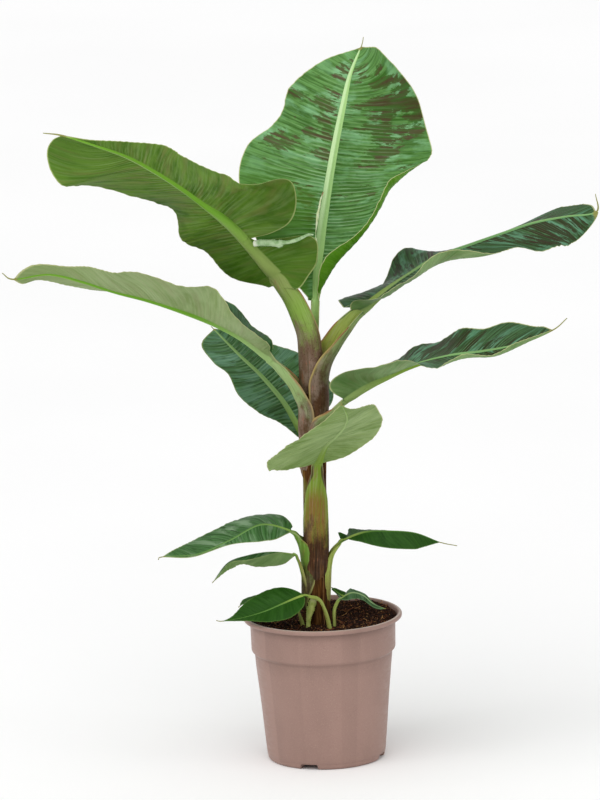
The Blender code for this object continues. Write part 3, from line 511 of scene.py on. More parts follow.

# How each leaf is finished. tone: the leaf's colours. ply: how strongly its folds show, in painted
# highlight on their crests and painted shade in their valleys, by share of the blade. lean: how far its veins
# run towards the tip for each millimetre out from the rib, by share.
# rib: share and half-width of the midrib. flecks: share, side (-1 left margin, 1 right margin), reach
# along and across, strength.
LOOKS = {
    "upright": {
        "tone": "young",
        "ply": [(0, 0.5), (0.2, 0.85), (0.42, 0.8), (0.6, 0.5), (0.8, 0.3), (0.95, 0.15)],
        "lean": [(0, 0), (0.85, 0.05), (1, 0.25)],
        "rib": [(0, 8.6), (0.15, 8), (0.3, 7.2), (0.45, 6.4), (0.65, 5.4), (0.82, 3.9), (0.96, 2), (1, 1)],
        "flecks": [
            (0.76, 0.5, 0.05, 0.4, 1.1), (0.76, 0.88, 0.06, 0.25, 1.15), (0.68, 0.55, 0.06, 0.45, 1.15),
            (0.6, 0.5, 0.04, 0.3, 1), (0.54, 0.4, 0.03, 0.4, 0.85), (0.83, 0.55, 0.05, 0.35, 0.95),
            (0.89, 0.3, 0.04, 0.3, 0.95), (0.4, 0.3, 0.05, 0.25, 0.7), (0.75, -0.3, 0.05, 0.35, 1.1),
            (0.72, -0.7, 0.04, 0.35, 0.9), (0.57, -0.65, 0.04, 0.35, 1.05), (0.65, -0.25, 0.06, 0.3, 0.95),
            (0.56, -0.2, 0.04, 0.25, 0.9), (0.9, -0.25, 0.05, 0.3, 0.95), (0.38, -0.3, 0.07, 0.35, 0.78),
        ],
    },
    "high_left": {
        "tone": "broad",
        "ply": [(0, 0.7)],
        "lean": [(0, 0), (0.3, 0.25), (1, 0.8)],
        "rib": [(0, 11), (0.12, 9.4), (0.3, 6.9), (0.55, 4.9), (0.8, 3), (1, 1.1)],
        "flecks": [(0.5, 0.3, 0.3, 0.6, 0.3)],
    },
    "mid_left": {
        "tone": "pale",
        "ply": [(0, 0.4)],
        "lean": [(0, 0), (0.3, 0.3), (0.6, 0.9), (1, 1.4)],
        "rib": [(0, 7), (0.2, 5.2), (0.5, 3.8), (0.8, 2.2), (1, 1)],
        "flecks": [(0.5, -0.5, 0.3, 0.5, 0.5)],
    },
    "back_left": {
        "tone": "deep",
        "ply": [(0, 0.4)],
        "rib": [(0, 6), (0.3, 4.4), (0.7, 2.5), (1, 1)],
        "flecks": [(0.35, 0.4, 0.25, 0.6, 0.4), (0.7, -0.4, 0.2, 0.5, 0.4)],
    },
    "high_right": {
        "tone": "flecked",
        "ply": [(0, 0.6), (0.5, 0.3), (1, 0.15)],
        "lean": [(0, 0.2), (0.4, 0.5), (0.6, 0.9), (1, 1.1)],
        "rib": [(0, 8), (0.2, 6), (0.5, 4.2), (0.8, 2.6), (1, 1)],
        "flecks": [(0.8, 0.3, 0.25, 0.8, 1.0), (0.5, -0.4, 0.25, 0.7, 1.0), (0.25, -0.5, 0.15, 0.6, 0.7)],
    },
    "mid_right": {
        "tone": "flecked",
        "ply": [(0, 0.45)],
        "lean": [(0, 0.3), (0.4, 0.7), (1, 1.1)],
        "rib": [(0, 8.8), (0.15, 7.2), (0.3, 5), (0.5, 3.6), (0.8, 2), (1, 0.9)],
        "flecks": [(0.8, 0.3, 0.25, 0.8, 1.0), (0.5, -0.4, 0.25, 0.7, 1.0), (0.3, 0.4, 0.15, 0.6, 0.8)],
    },
    "front": {
        "tone": "front",
        "ply": [(0, 0.75)],
        "rib": [(0, 7), (0.12, 5), (0.35, 3), (0.6, 2), (1, 0.8)],
        "flecks": [(0.5, 0.4, 0.3, 0.6, 0.5)],
    },
    "low_left_top": {
        "tone": "low",
        "ply": [(0, 0.12)],
        "lean": [(0, 0.3), (1, 1)],
        "rib": [(0, 2.4), (0.3, 1.7), (0.7, 1.1), (1, 0.6)],
        "flecks": [(0.45, 0.3, 0.25, 0.7, 0.35)],
    },
    "low_left_under": {
        "tone": "low",
        "ply": [(0, 0.12)],
        "lean": [(0, 0.5)],
        "rib": [(0, 2.2), (0.3, 1.8), (0.7, 1.2), (1, 0.7)],
        "flecks": [(0.5, 0.4, 0.2, 0.6, 0.4)],
    },
    "low_right": {
        "tone": "glossy",
        "ply": [(0, 0.3)],
        "lean": [(0, 0.5), (1, 1)],
        "rib": [(0, 2.6), (0.3, 2), (0.7, 1.3), (1, 0.7)],
        "flecks": [(0.5, 0.3, 0.2, 0.6, 0.4)],
    },
    "foot_left": {
        "tone": "glossy",
        "ply": [(0, 0.03)],
        "lean": [(0, 0.6)],
        "rib": [(0, 2.2), (0.3, 1.5), (0.6, 0.8), (1, 0.4)],
        "flecks": [(0.4, 0.5, 0.2, 0.5, 0.3)],
    },
    "foot_right": {
        "tone": "teal",
        "ply": [(0, 0.2)],
        "rib": [(0, 1.8), (0.3, 1.4), (0.7, 0.9), (1, 0.5)],
        "flecks": [(0.4, 0.5, 0.2, 0.5, 0.2)],
    },
    "foot_back": {
        "tone": "glossy",
        "ply": [(0, 0.15)],
        "rib": [(0, 1.4), (0.5, 0.9), (1, 0.5)],
        "flecks": [],
    },
    "foot_hidden": {
        "tone": "glossy",
        "ply": [(0, 0.15)],
        "rib": [(0, 1.8), (0.4, 1.2), (1, 0.6)],
        "flecks": [],
    },
}

# Bare strips: points and half-widths along each, and two skin colours with that of the torn end.
TORN_EDGE = [
    (-87, -72, 804, 4.6), (-76, -76, 806, 5.4), (-65, -79, 806, 4.7), (-56, -81, 806, 5.6), (-49, -83, 805, 6.1),
    (-43, -85, 807, 3.3), (-34, -87, 808, 2.6), (-22, -88, 811, 2.9), (-13, -88, 815, 2.4), (-5, -86, 818, 1.9),
    (3, -82, 817, 1.0),
]
TORN_EDGE_LOOK = ("#8AAC78", "#ACC69A", "#E2E8D2")
ROLLED_WING = [
    (19.6, 27.9, 861.8, 0.8), (15.3, 25.9, 850.2, 1.1), (13.2, 24, 839.9, 1.6), (10.2, 21.8, 828.3, 2.3),
    (7.9, 19.6, 816.6, 2.6), (6, 17.3, 804.9, 2.4), (5.9, 15.7, 796.1, 1.8), (7.8, 14.4, 788.7, 1),
]
ROLLED_WING_LOOK = ("#ECF4CE", "#D6E2AC", "#A27F5A")
FOOT_STEM = [
    (-12, -49, 257, 4.2), (-15.4, -50, 248, 6.2), (-18.2, -51, 239, 5.7), (-20.8, -52, 229, 4.3),
    (-23, -53, 207, 2.7),
]
FOOT_STEM_LOOK = ("#8C9C4A", "#A6B062", "#C2C488")

# Colours of each tone, as sRGB. The names that start with under are the underside's. sheen is the pale wax's
# colour and also serves as a painted highlight; vein and under_vein also paint the highlight on the crests of
# the folds, and dark and under_dark the painted shade in their valleys. stalk and stalk_inside are the back
# and the hollow of the stalk, from the blade's base down to the foot of the sheath. flush and papery are the
# stalk's margin, high and low. wing is the dry skin beside the stalk's ridge, and shaded_outer_low a deeper green
# low on the left half, which is painted shade, where a leaf has them. bloom is how thickly grey dust lies on
# the stalk. turns says where down the stalk the third and the last colour begin and are full, and takes the
# usual places where it isn't given.
USUAL_TURNS = (0.3, 0.66, 0.88, 1.18)
USUAL_BLOOM = 0.62
TONES = {
    "young": {
        "base": "#64954E", "dark": "#3E6A26", "sheen": "#86BC88", "vein": "#ACD29C", "fleck": "#54422E",
        "rib": "#C8E6AC", "rib_line": "#A6CE84", "under": "#568C10", "under_dark": "#457A08",
        "under_vein": "#749E48", "under_rib": "#9CC766", "under_rib_line": "#86AC50", "edge": "#CFD09A",
        "stalk": ("#A2C070", "#96B45C", "#8CA450", "#7A8A48"),
        "stalk_inside": ("#A8CC7C", "#9CC06C", "#90B05C", "#7A8A48"),
        "under_tint": "#6C9A30", "shaded_outer_low": "#4A7A1C",
        "flush": "#9CB070", "papery": "#B8C88C",
    },
    "broad": {
        "base": "#4C7A30", "dark": "#3A6418", "sheen": "#94B8A0", "vein": "#A8CCB0", "fleck": "#3E3320",
        "rib": "#9CC77A", "rib_line": "#86B062", "under": "#64882E", "under_dark": "#3E6410",
        "under_vein": "#86A064", "under_rib": "#70A430", "under_rib_line": "#8CAA62", "edge": "#B0BC78",
        "stalk": ("#8E9E5A", "#8CAE4C", "#8A9C54", "#745A48"),
        "stalk_inside": ("#90AE54", "#94AC5C", "#88983E", "#645028"),
        "under_tint": "#7A7A44",
        "flush": "#A8684E", "papery": "#B89A6C",
    },
    "pale": {
        "base": "#35602A", "dark": "#20461A", "sheen": "#64906E", "vein": "#94B48C", "fleck": "#3E3320",
        "rib": "#9CC07A", "rib_line": "#86AC62", "under": "#92A672", "under_dark": "#788E52",
        "under_vein": "#A8B68A", "under_rib": "#6A9E2C", "under_rib_line": "#96B460", "edge": "#BCC08A",
        "stalk": ("#A0BC7C", "#9CB674", "#8E9A74", "#604630"),
        "stalk_inside": ("#90B05C", "#94AC5C", "#8A9444", "#68502C"),
        "under_tint": "#90946C",
        "flush": "#B4705A", "papery": "#C4A878",
    },
    "front": {
        "base": "#35602A", "dark": "#20461A", "sheen": "#64906E", "vein": "#94B48C", "fleck": "#3E3320",
        "rib": "#9CC07A", "rib_line": "#86AC62", "under": "#94AB70", "under_dark": "#67833F",
        "under_vein": "#A0B47C", "under_rib": "#7FA050", "under_rib_line": "#9CB478", "edge": "#BCC08A",
        "stalk": ("#74902C", "#7A9030", "#7E5C2A", "#3E2410"), "wing": "#443C18", "bloom": 0.1,
        "turns": (0.16, 0.34, 0.96, 1.22),
        "stalk_inside": ("#90B05C", "#8AA04C", "#7A7A38", "#503A1E"),
        "under_tint": "#84985A",
        "flush": "#8C5A40", "papery": "#8A6C44",
    },
    "deep": {
        "base": "#4C7448", "dark": "#2E4E24", "sheen": "#7CA890", "vein": "#9CB890", "fleck": "#2C3016",
        "rib": "#8FB070", "rib_line": "#7C9E5E", "under": "#6E8C5C", "under_dark": "#5A7848",
        "under_vein": "#8CA678", "under_rib": "#9CB878", "under_rib_line": "#86A464", "edge": "#86985C",
        "stalk": ("#80A244", "#789A3E", "#6C7A34", "#54381C"),
        "stalk_inside": ("#8CAC54", "#80A04A", "#727F40", "#54381C"),
        "under_tint": "#6E8050",
        "flush": "#A0604A", "papery": "#A08C60",
    },
    "flecked": {
        "base": "#3E6238", "dark": "#283C1A", "sheen": "#619474", "vein": "#8CAA80", "fleck": "#362618",
        "rib": "#86B070", "rib_line": "#6C9A5E", "under": "#86A66A", "under_dark": "#5E8244",
        "under_vein": "#94A878", "under_rib": "#627F18", "under_rib_line": "#7C9C38", "edge": "#C4C890",
        "stalk": ("#94AC68", "#869A5E", "#787450", "#553A26"),
        "stalk_inside": ("#A2B45C", "#A4AE4E", "#8E8A40", "#624A2A"),
        "under_tint": "#7E8858",
        "flush": "#AE6450", "papery": "#C0A868",
    },
    "low": {
        "base": "#44703A", "dark": "#2E5424", "sheen": "#98B290", "vein": "#A6BC9C", "fleck": "#26401C",
        "rib": "#6C9250", "rib_line": "#588040", "under": "#88A468", "under_dark": "#688A4C",
        "under_vein": "#88A468", "under_rib": "#98B46C", "under_rib_line": "#84A258", "edge": "#98A66C",
        "stalk": ("#628830", "#5E7E2A", "#586A28", "#3C3016"), "bloom": 0.1,
        "stalk_inside": ("#8CAE54", "#88A650", "#808C44", "#5A5426"),
        "under_tint": "#70845A",
        "flush": "#8C8048", "papery": "#A0A060",
    },
    "glossy": {
        "base": "#275012", "dark": "#1E440B", "sheen": "#335C20", "vein": "#456C30", "fleck": "#1A3C0B",
        "rib": "#6C9448", "rib_line": "#4E7630", "under": "#52783A", "under_dark": "#406228",
        "under_vein": "#7A9A5C", "under_rib": "#86A45C", "under_rib_line": "#709048", "edge": "#4C6E2C",
        "stalk": ("#98AC50", "#9CAE52", "#98A650", "#8C8E44"), "bloom": 0.1,
        "stalk_inside": ("#98AC50", "#9CAE52", "#98A650", "#8C8E44"),
        "under_tint": "#5C7A40",
        "flush": "#93A050", "papery": "#A0AE5C",
    },
    "teal": {
        "base": "#40613A", "dark": "#2C4A26", "sheen": "#6C8A6C", "vein": "#6C8C66", "fleck": "#2E3A20",
        "rib": "#94AE7C", "rib_line": "#7C9A66", "under": "#5E7E52", "under_dark": "#486840",
        "under_vein": "#7C986C", "under_rib": "#8CA870", "under_rib_line": "#78965E", "edge": "#5E7E54",
        "stalk": ("#8CA450", "#96AC52", "#98A650", "#8C8E44"),
        "stalk_inside": ("#8CA450", "#96AC52", "#98A650", "#8C8E44"),
        "under_tint": "#5C7450",
        "flush": "#93A050", "papery": "#A0AE5C",
    },
}


# ---------------------------------------------------------------- shape helpers


def through(points, share):
    """Points of a smooth curve through evenly spaced rows, share running from 0 to 1."""
    rows = np.asarray(points, float)
    rows = rows.reshape(len(rows), -1)
    rows = np.vstack([2 * rows[0] - rows[1], rows, 2 * rows[-1] - rows[-2]])
    where = np.clip(np.asarray(share, float), 0, 1) * (len(rows) - 3)
    i = np.minimum(where.astype(int), len(rows) - 4)
    f = (where - i)[:, None]
    a, b, c, d = rows[i], rows[i + 1], rows[i + 2], rows[i + 3]
    cubic = 3 * b - a - 3 * c + d
    square = 2 * a - 5 * b + 4 * c - d
    return 0.5 * (2 * b + (c - a) * f + square * f**2 + cubic * f**3)


def ease(low, high, value):
    """0 below low, 1 above high, and a smooth rise between."""
    t = np.clip((np.asarray(value, float) - low) / (high - low), 0, 1)
    return t * t * (3 - 2 * t)


def read_off(rows, share):
    """The last column of a table's rows at these shares, which are its first column."""
    rows = np.array(rows, float)
    return np.interp(share, rows[:, 0], rows[:, -1])


def rolled(values, reach):
    """Values smoothed over a few neighbours on either side."""
    weights = np.hanning(2 * reach + 3)[1:-1]
    padded = np.pad(values, reach, mode="edge")
    return np.convolve(padded, weights / weights.sum(), "valid")


def unit(rows):
    """Directions of length 1."""
    return rows / np.linalg.norm(rows, axis=1)[:, None]


def run_of(points):
    """How far along a line each of its points lies."""
    return np.concatenate([[0], np.cumsum(np.linalg.norm(np.diff(points, axis=0), axis=1))])


def round_turns(steps):
    """Even turns round a circle, in radians."""
    return np.arange(steps) * FULL_TURN / steps


def turned(profile, steps):
    """Rings of points round the Z axis, one for each radius and height."""
    turn = round_turns(steps)
    rings = [np.stack([r * np.cos(turn), r * np.sin(turn), np.full(steps, float(z))], -1) for r, z in profile]
    return np.stack(rings)


def turn_between(turn, middle):
    """How far turns lie from a middle one, from -pi to pi."""
    return (turn - middle + math.pi) % FULL_TURN - math.pi


def ripples(x, y, seed):
    """A smooth uneven field between about -1 and 1, with waves one unit long."""
    draw = np.random.default_rng(seed)
    field = np.zeros(np.broadcast(x, y).shape)
    for _ in range(RIPPLE_WAVES):
        turn, phase = draw.uniform(0, FULL_TURN, 2)
        pitch = draw.uniform(0.6, 1.6) * FULL_TURN
        field += np.sin(pitch * (x * math.cos(turn) + y * math.sin(turn)) + phase)
    return field / RIPPLE_WAVES**0.5 / 1.2


class Rib:
    """The line of a leaf from the foot of its stalk to the dry end of its tip.

    A sheath that wraps the trunk runs on below its foot, so that its end can sink out of sight.
    """

    def __init__(self, leaf):
        rows = np.array(leaf["rib"], float)
        sunk = 1 if rows[0, 2] > SUNK_ABOVE else 0
        if sunk:
            down = rows[0] - rows[1]
            rows = np.vstack([rows[0] + down * SUNK_FOOT / np.linalg.norm(down), rows])
        self.sunk = SUNK_FOOT if sunk else 0.0
        self.fine = through(rows, np.linspace(0, 1, (len(rows) - 1) * RIB_FINE + 1))
        self.length = run_of(self.fine)
        first, last = (index + sunk for index in leaf["blade"])
        self.base = self.length[first * RIB_FINE]
        self.blade = self.length[last * RIB_FINE] - self.base
        self.first_share = -self.base / self.blade
        self.last_share = (self.length[-1] - self.base) / self.blade
        self.face = np.array(leaf["face"], float)

    def place(self, at):
        """Points at these distances from the stalk's foot."""
        return np.stack([np.interp(at, self.length, self.fine[:, k]) for k in range(3)], -1)

    def frame(self, share):
        """Point, tangent, upper normal and right-hand side at these shares of the blade."""
        at = self.base + np.asarray(share, float) * self.blade
        ahead = self.place(np.minimum(at + RIB_LOOK, self.length[-1]))
        tangent = unit(ahead - self.place(np.maximum(at - RIB_LOOK, 0)))
        normal = np.stack([rolled(np.interp(share, self.face[:, 0], self.face[:, k]), 3) for k in (1, 2, 3)], -1)
        normal = unit(normal - (normal * tangent).sum(1)[:, None] * tangent)
        return self.place(at), tangent, normal, np.cross(tangent, normal)


# ---------------------------------------------------------------- meshes


def linked(name, data):
    """A new object of the scene."""
    thing = bpy.data.objects.new(name, data)
    bpy.context.scene.collection.objects.link(thing)
    return thing


def new_piece(name, points, faces, materials, slots=None, uv=None, values=None):
    """A mesh object in metres, from points in millimetres, with its materials, UVs and point values."""
    mesh = bpy.data.meshes.new(name)
    mesh.from_pydata((np.asarray(points, float) * MM).tolist(), [], [list(map(int, f)) for f in faces])
    for material in materials:
        mesh.materials.append(material)
    if slots is not None:
        mesh.polygons.foreach_set("material_index", np.asarray(slots, np.int32))
    mesh.polygons.foreach_set("use_smooth", np.full(len(mesh.polygons), True))
    if uv is not None:
        corner = np.empty(len(mesh.loops), np.int32)
        mesh.loops.foreach_get("vertex_index", corner)
        layer = mesh.uv_layers.new(name="UVMap")
        layer.data.foreach_set("uv", np.asarray(uv, np.float32)[corner].ravel())
    for key, value in (values or {}).items():
        layer = mesh.attributes.new(key, "FLOAT", "POINT")
        layer.data.foreach_set("value", np.asarray(value, np.float32).ravel())
    mesh.update()
    return linked(name, mesh)


def place_piece(piece, slot, *nodes):
    """Puts a piece on the plant's one body, in place of the CAD nodes named. Its slot is not used."""
    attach(piece, "root")
    if nodes:
        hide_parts(*nodes)


def plain_mesh(piece):
    """A piece's mesh as its modifiers leave it."""
    bpy.context.view_layer.update()
    graph = bpy.context.evaluated_depsgraph_get()
    return bpy.data.meshes.new_from_object(piece.evaluated_get(graph), depsgraph=graph)


def grid_faces(rows, columns, closed=False, first=0):
    """Quads between the rows of a grid of points, turned to face up when columns run to the right of rows."""
    i, j = np.meshgrid(np.arange(rows - 1), np.arange(columns if closed else columns - 1), indexing="ij")
    k = (j + 1) % columns
    quads = np.stack([i * columns + j, i * columns + k, (i + 1) * columns + k, (i + 1) * columns + j], -1)
    return quads.reshape(-1, 4) + first


def fans(steps, top, above, below):
    """Triangles that close a tube of rings.

    top is the first point of its last ring, and above and below are the middles of its ends.
    """
    around, after = np.arange(steps), (np.arange(steps) + 1) % steps
    faces = [[top + a, top + b, above] for a, b in zip(around, after)]
    return faces + [[b, a, below] for a, b in zip(around, after)]


def shell_faces(rows, count):
    """Faces of a thin closed shell between an upper and a lower grid, and which of them lie below."""
    size = rows * count
    upper = grid_faces(rows, count)
    lower = grid_faces(rows, count, first=size)[:, ::-1]
    i = np.arange(rows - 1) * count
    j = i + count - 1
    k = np.arange(count - 1)
    m = k + (rows - 1) * count
    left = np.stack([i, i + count, i + count + size, i + size], -1)
    right = np.stack([j, j + size, j + count + size, j + count], -1)
    start = np.stack([k, k + size, k + 1 + size, k + 1], -1)
    end = np.stack([m, m + 1, m + 1 + size, m + size], -1)
    slots = np.concatenate([np.zeros(len(upper), int), np.ones(len(lower), int)])
    slots = np.concatenate([slots, np.zeros(2 * len(i) + 2 * len(k), int)])
    return np.concatenate([upper, lower, left, right, start, end]), slots


def shell_piece(name, upper, lower, materials, uv, values):
    """A thin closed shell from the columns of its two sides. UVs and point values hold for both sides alike."""
    points = np.concatenate([np.stack(side, 1).reshape(-1, 3) for side in (upper, lower)])
    faces, slots = shell_faces(len(upper[0]), len(upper))
    uv = np.tile(np.stack(uv, 1).reshape(-1, 2), (2, 1))
    values = {key: np.tile(np.stack(columns, 1).ravel(), 2) for key, columns in values.items()}
    return new_piece(name, points, faces.tolist(), materials, slots if len(materials) > 1 else None, uv, values)


# ---------------------------------------------------------------- materials

# Settings that many nodes share.
SMOOTH = {"interpolation_type": "SMOOTHSTEP"}
TIMES = {"operation": "MULTIPLY"}
TIMES_PLUS = {"operation": "MULTIPLY_ADD"}


def add(tree, kind, settings=None, links=None):
    """Adds a node, with its settings and with the values or outputs that feed its inputs."""
    node = tree.nodes.new(kind)
    for name, value in (settings or {}).items():
        setattr(node, name, value)
    for socket, source in (links or {}).items():
        if isinstance(source, bpy.types.NodeSocket):
            tree.links.new(source, node.inputs[socket])
        else:
            node.inputs[socket].default_value = source
    return node


def new_material(name, roughness, specular):
    """A material with a plain shader, its node tree and that shader."""
    material = bpy.data.materials.new(name)
    material.use_nodes = True
    shader = material.node_tree.nodes["Principled BSDF"]
    shader.inputs["Roughness"].default_value = roughness
    shader.inputs["Specular IOR Level"].default_value = specular
    return material, material.node_tree, shader


def paint(colour, share=1.0):
    """A hex value or three linear shares as a colour for a node, made darker or paler by a share."""
    shares = linear(colour) if isinstance(colour, str) else colour
    return (*(share * c for c in shares), 1)


def clouds(tree, place, *rows):
    """Cloudy patterns. Each row is the scale along every axis of the coordinates, the detail and the roughness."""
    patterns = []
    for scales, detail, roughness in rows:
        moved = add(tree, "ShaderNodeMapping", {}, {"Vector": place, "Scale": scales}).outputs[0]
        links = {"Vector": moved, "Scale": 1.0, "Detail": detail, "Roughness": roughness}
        patterns.append(add(tree, "ShaderNodeTexNoise", {}, links).outputs["Fac"])
    return patterns


def product(tree, *factors):
    """Factors multiplied.

    Each is a number, an output, or an output with the range it is taken smoothly from and the one to.
    """
    result = None
    for factor in factors:
        if isinstance(factor, tuple):
            links = dict(zip(("Value", "From Min", "From Max", "To Min", "To Max"), factor))
            factor = add(tree, "ShaderNodeMapRange", SMOOTH, links).outputs[0]
        if result is None:
            result = factor
        else:
            result = add(tree, "ShaderNodeMath", TIMES, {0: result, 1: factor}).outputs[0]
    return result


def total(tree, result, *terms):
    """A value with others added to it, each times its weight."""
    for value, weight in terms:
        result = add(tree, "ShaderNodeMath", TIMES_PLUS, {0: value, 1: weight, 2: result}).outputs[0]
    return result


def coated(tree, colour, *coats):
    """A colour under thin coats. Each is a colour and the factors of the share that it covers."""
    for over, *factors in coats:
        below, above = (paint(c) if isinstance(c, str) else c for c in (colour, over))
        links = {0: product(tree, *factors), 6: below, 7: above}
        colour = add(tree, "ShaderNodeMix", {"data_type": "RGBA"}, links).outputs[2]
    return colour


def finish(tree, shader, colour, strength, depth, height):
    """Gives the shader its colour and a relief, with the relief's depth in metres."""
    links = {"Strength": strength, "Distance": depth, "Height": height}
    tree.links.new(colour, shader.inputs["Base Color"])
    tree.links.new(add(tree, "ShaderNodeBump", {}, links).outputs[0], shader.inputs["Normal"])


def leaf_material(tone, under):
    """Living leaf: a waxy green skin over fine parallel veins, with a pale rib and a thin cream margin.

    To the eye it is a soft satin, in faint bands from rib to margin, which are painted highlight on the
    crests of its folds and painted shade in their valleys. Its pale sheen patches are partly the wax's own
    colour and partly a painted highlight where the wax catches the light. On the upper side it has dark
    brown flecks that run along the veins.
    """
    name = f"banana_leaf_{tone}_{'underside' if under else 'upper'}"
    if name in bpy.data.materials:
        return bpy.data.materials[name]
    colours = TONES[tone]
    winged = "wing" in colours
    material, tree, shader = new_material(name, 0.5, 0.12)
    place = add(tree, "ShaderNodeUVMap", {"uv_map": "UVMap"}).outputs[0]
    side, down, inset, creased, folded, fleck, dry = (
        add(tree, "ShaderNodeAttribute", {"attribute_name": key}).outputs["Fac"]
        for key in ("rib", "stalk", "margin", "crease", "ply", "fleck", "dry")
    )
    # One UV unit is 100 mm: the first axis runs across the leaf and the second along its rib.
    # Hair veins stand about 1 mm apart. The folds between them are counted by the crease value.
    hair, streak, patch, uneven, lines, grain, blotch, bloom, dots = clouds(
        tree, place,
        ((1.3, 85, 1), 2, 0.5), ((1.7, 26, 1), 4, 0.62), ((1.9, 4.6, 1), 4, 0.6), ((2.6, 7.5, 1), 3, 0.6),
        ((75, 1.3, 1), 2, 0.5), ((34, 1.4, 1), 4, 0.6), ((5, 2.2, 1), 6, 0.7), ((3.4, 1.9, 1), 6, 0.68),
        ((48, 34, 1), 3, 0.6),
    )
    turn = product(tree, creased, FULL_TURN)
    wave = add(tree, "ShaderNodeMath", {"operation": "COSINE"}, {0: turn}).outputs[0]
    ply = product(tree, folded, (uneven, 0.36, 0.6, 0.2, 1))
    # Crest and valley mark where the colour gets a painted highlight on the folds' crests and painted shade in
    # their valleys; they also shape the relief.
    crest = product(tree, (wave, 0.25, 0.95), ply)
    valley = product(tree, (wave, 0, -0.9), ply)
    if under:
        [tint] = clouds(tree, place, ((1.4, 9, 1), 4, 0.6))
        colour = coated(
            tree, colours["under_dark"],
            (colours["under"], (patch, 0.3, 0.66)),
            (colours["under_vein"], (streak, 0.44, 0.66, 0, 0.35)),
            (colours["under_dark"], (hair, 0.5, 0.36, 0, 0.3)),
            (colours["under_tint"], (tint, 0.46, 0.68, 0, 0.5)),
            # Painted highlight on the crests of the folds and painted shade in their valleys.
            (colours["under_vein"], crest, 0.4),
            (colours["under_dark"], valley, 0.45),
            # It is darker near the stalk and towards the tip.
            (colours["under_dark"], (down, -0.3, -0.02, 0, 0.4)),
            (colours["under_dark"], (down, -0.62, -0.98, 0, 0.5)),
        )
    else:
        spots, clumps = clouds(tree, place, ((4.2, 17, 1), 7, 0.76), ((2.2, 6.5, 1), 3, 0.6))
        spots = total(tree, product(tree, spots, 0.6), (clumps, 0.7), (fleck, 0.2), (crest, -0.04))
        shade = coated(tree, colours["fleck"], (colours["dark"], (streak, 0.35, 0.65)))
        colour = coated(
            tree, colours["dark"],
            (colours["base"], (streak, 0.4, 0.6)),
            # Pale sheen patches: partly the wax's own colour, partly a painted highlight.
            (colours["sheen"], (patch, 0.47, 0.62), (fleck, 0, 0.7, 0.3, 0.9)),
            # Painted shade in the valleys of the folds.
            (colours["dark"], valley, 0.7),
            # Painted sheen along the hair veins.
            (colours["sheen"], (hair, 0.56, 0.7, 0, 0.35)),
            (shade, (spots, 0.785, 0.805, 0, 0.95)),
            # Painted highlight on the crests of the folds, in the pale vein colour.
            (colours["vein"], crest, 0.6),
        )
        if "shaded_outer_low" in colours:
            # Painted shade: low on its left side this leaf is a deeper yellow green.
            low = (colours["shaded_outer_low"], (down, -0.5, -0.36), 0.62, (side, -1.4, -2.6))
            colour = coated(tree, colour, low)
    # One side of the rib catches the light, the other is a duller green. Near the stalk it takes the
    # stalk's colour.
    off_rib = add(tree, "ShaderNodeMath", {"operation": "ABSOLUTE"}, {0: side}).outputs[0]
    lit = total(tree, side, (lines, 0.8))
    first, second, third, last = colours["stalk" if under else "stalk_inside"]
    key = "under_rib" if under else "rib"
    rib = coated(
        tree, colours[key], (colours[key + "_line"], (lit, 0.1, 0.8)), (first, (down, -0.36, -0.03, 0, 0.85))
    )
    # The stalk, from the blade's base down to the foot of its sheath: dry brown-purple blotches grow
    # downwards.
    turns, dust = colours.get("turns", USUAL_TURNS), colours.get("bloom", USUAL_BLOOM)
    ochre = [(down, *turns[:2])]
    if winged:
        ochre += [(off_rib, 0.72, 0.34, 0.1, 1), (grain, 0.4, 0.54, 0.45, 1)]
    worn = total(tree, down, (blotch, 1.1))
    stalk = coated(tree, first, (second, (down, 0.02, 0.36)), (third, *ochre), (last, (worn, *turns[2:])))
    if winged:
        # The wings beside the ridge of this stalk have dried already. The green ridge widens downwards.
        beyond = total(tree, off_rib, (product(tree, (down, 0.08, 0.3, 0.42, 1)), -1))
        stalk = coated(tree, stalk, (colours["wing"], (beyond, -0.04, 0.1, 0, 0.95)))
    strands = (down, 0.5, 0.8, 0, 0.8 if winged else 0.2)
    red = total(tree, blotch, (grain, 0.4))
    stalk = coated(
        tree, stalk,
        ("#9A8676", (bloom, 0.43, 0.6), (down, 0.28, 0.5), dust),
        # Painted highlight on the grain of the upper stalk.
        ("#B7BE94", (grain, 0.5, 0.66), (down, 0.75, 0.3, 0, 0.25)),
        ("#4E4A22", (grain, 0.46, 0.34, 0, 0.45)),
        # Towards its foot the dried sheath splits into dark and tan strands, like the trunk's.
        ("#1E0E06", (grain, 0.47, 0.39), strands),
        ("#7A562C", (grain, 0.53, 0.62, 0, 0.6), strands),
        ("#3A2812", (dots, 0.58, 0.66), (down, 0.3, 0.65, 0, 0.75)),
        (colours["flush"], (red, 0.78, 0.9, 0, 0.5)),
    )
    # The margin is a thin cream line on the blade, and flushed pink on the stalk.
    margin = product(tree, (down, 0.1, 0.3, 1.7, 4.2))
    papery = coated(tree, colours["flush"], (colours["papery"], (down, 0.22, 0.42)))
    edge = coated(tree, colours["edge"], (papery, (down, 0.02, 0.12)))
    colour = coated(
        tree, colour,
        (rib, (off_rib, 0.9, 1.08, 1, 0)),
        (stalk, (down, 0, 0.05)),
        (edge, (inset, 0.5, margin, 1, 0), 0.8),
        ("#8C8A4A", (total(tree, dry, (streak, 0.3)), 0.6, 1, 0, 0.9)),
    )
    gloss = (0.5, 0.66) if under else (0.36, 0.56)
    tree.links.new(product(tree, (streak, 0.3, 0.7, *gloss)), shader.inputs["Roughness"])
    finish(tree, shader, colour, 0.55, 0.0007, total(tree, hair, (streak, 1.2), (crest, 1.1), (valley, -1.1)))
    return material


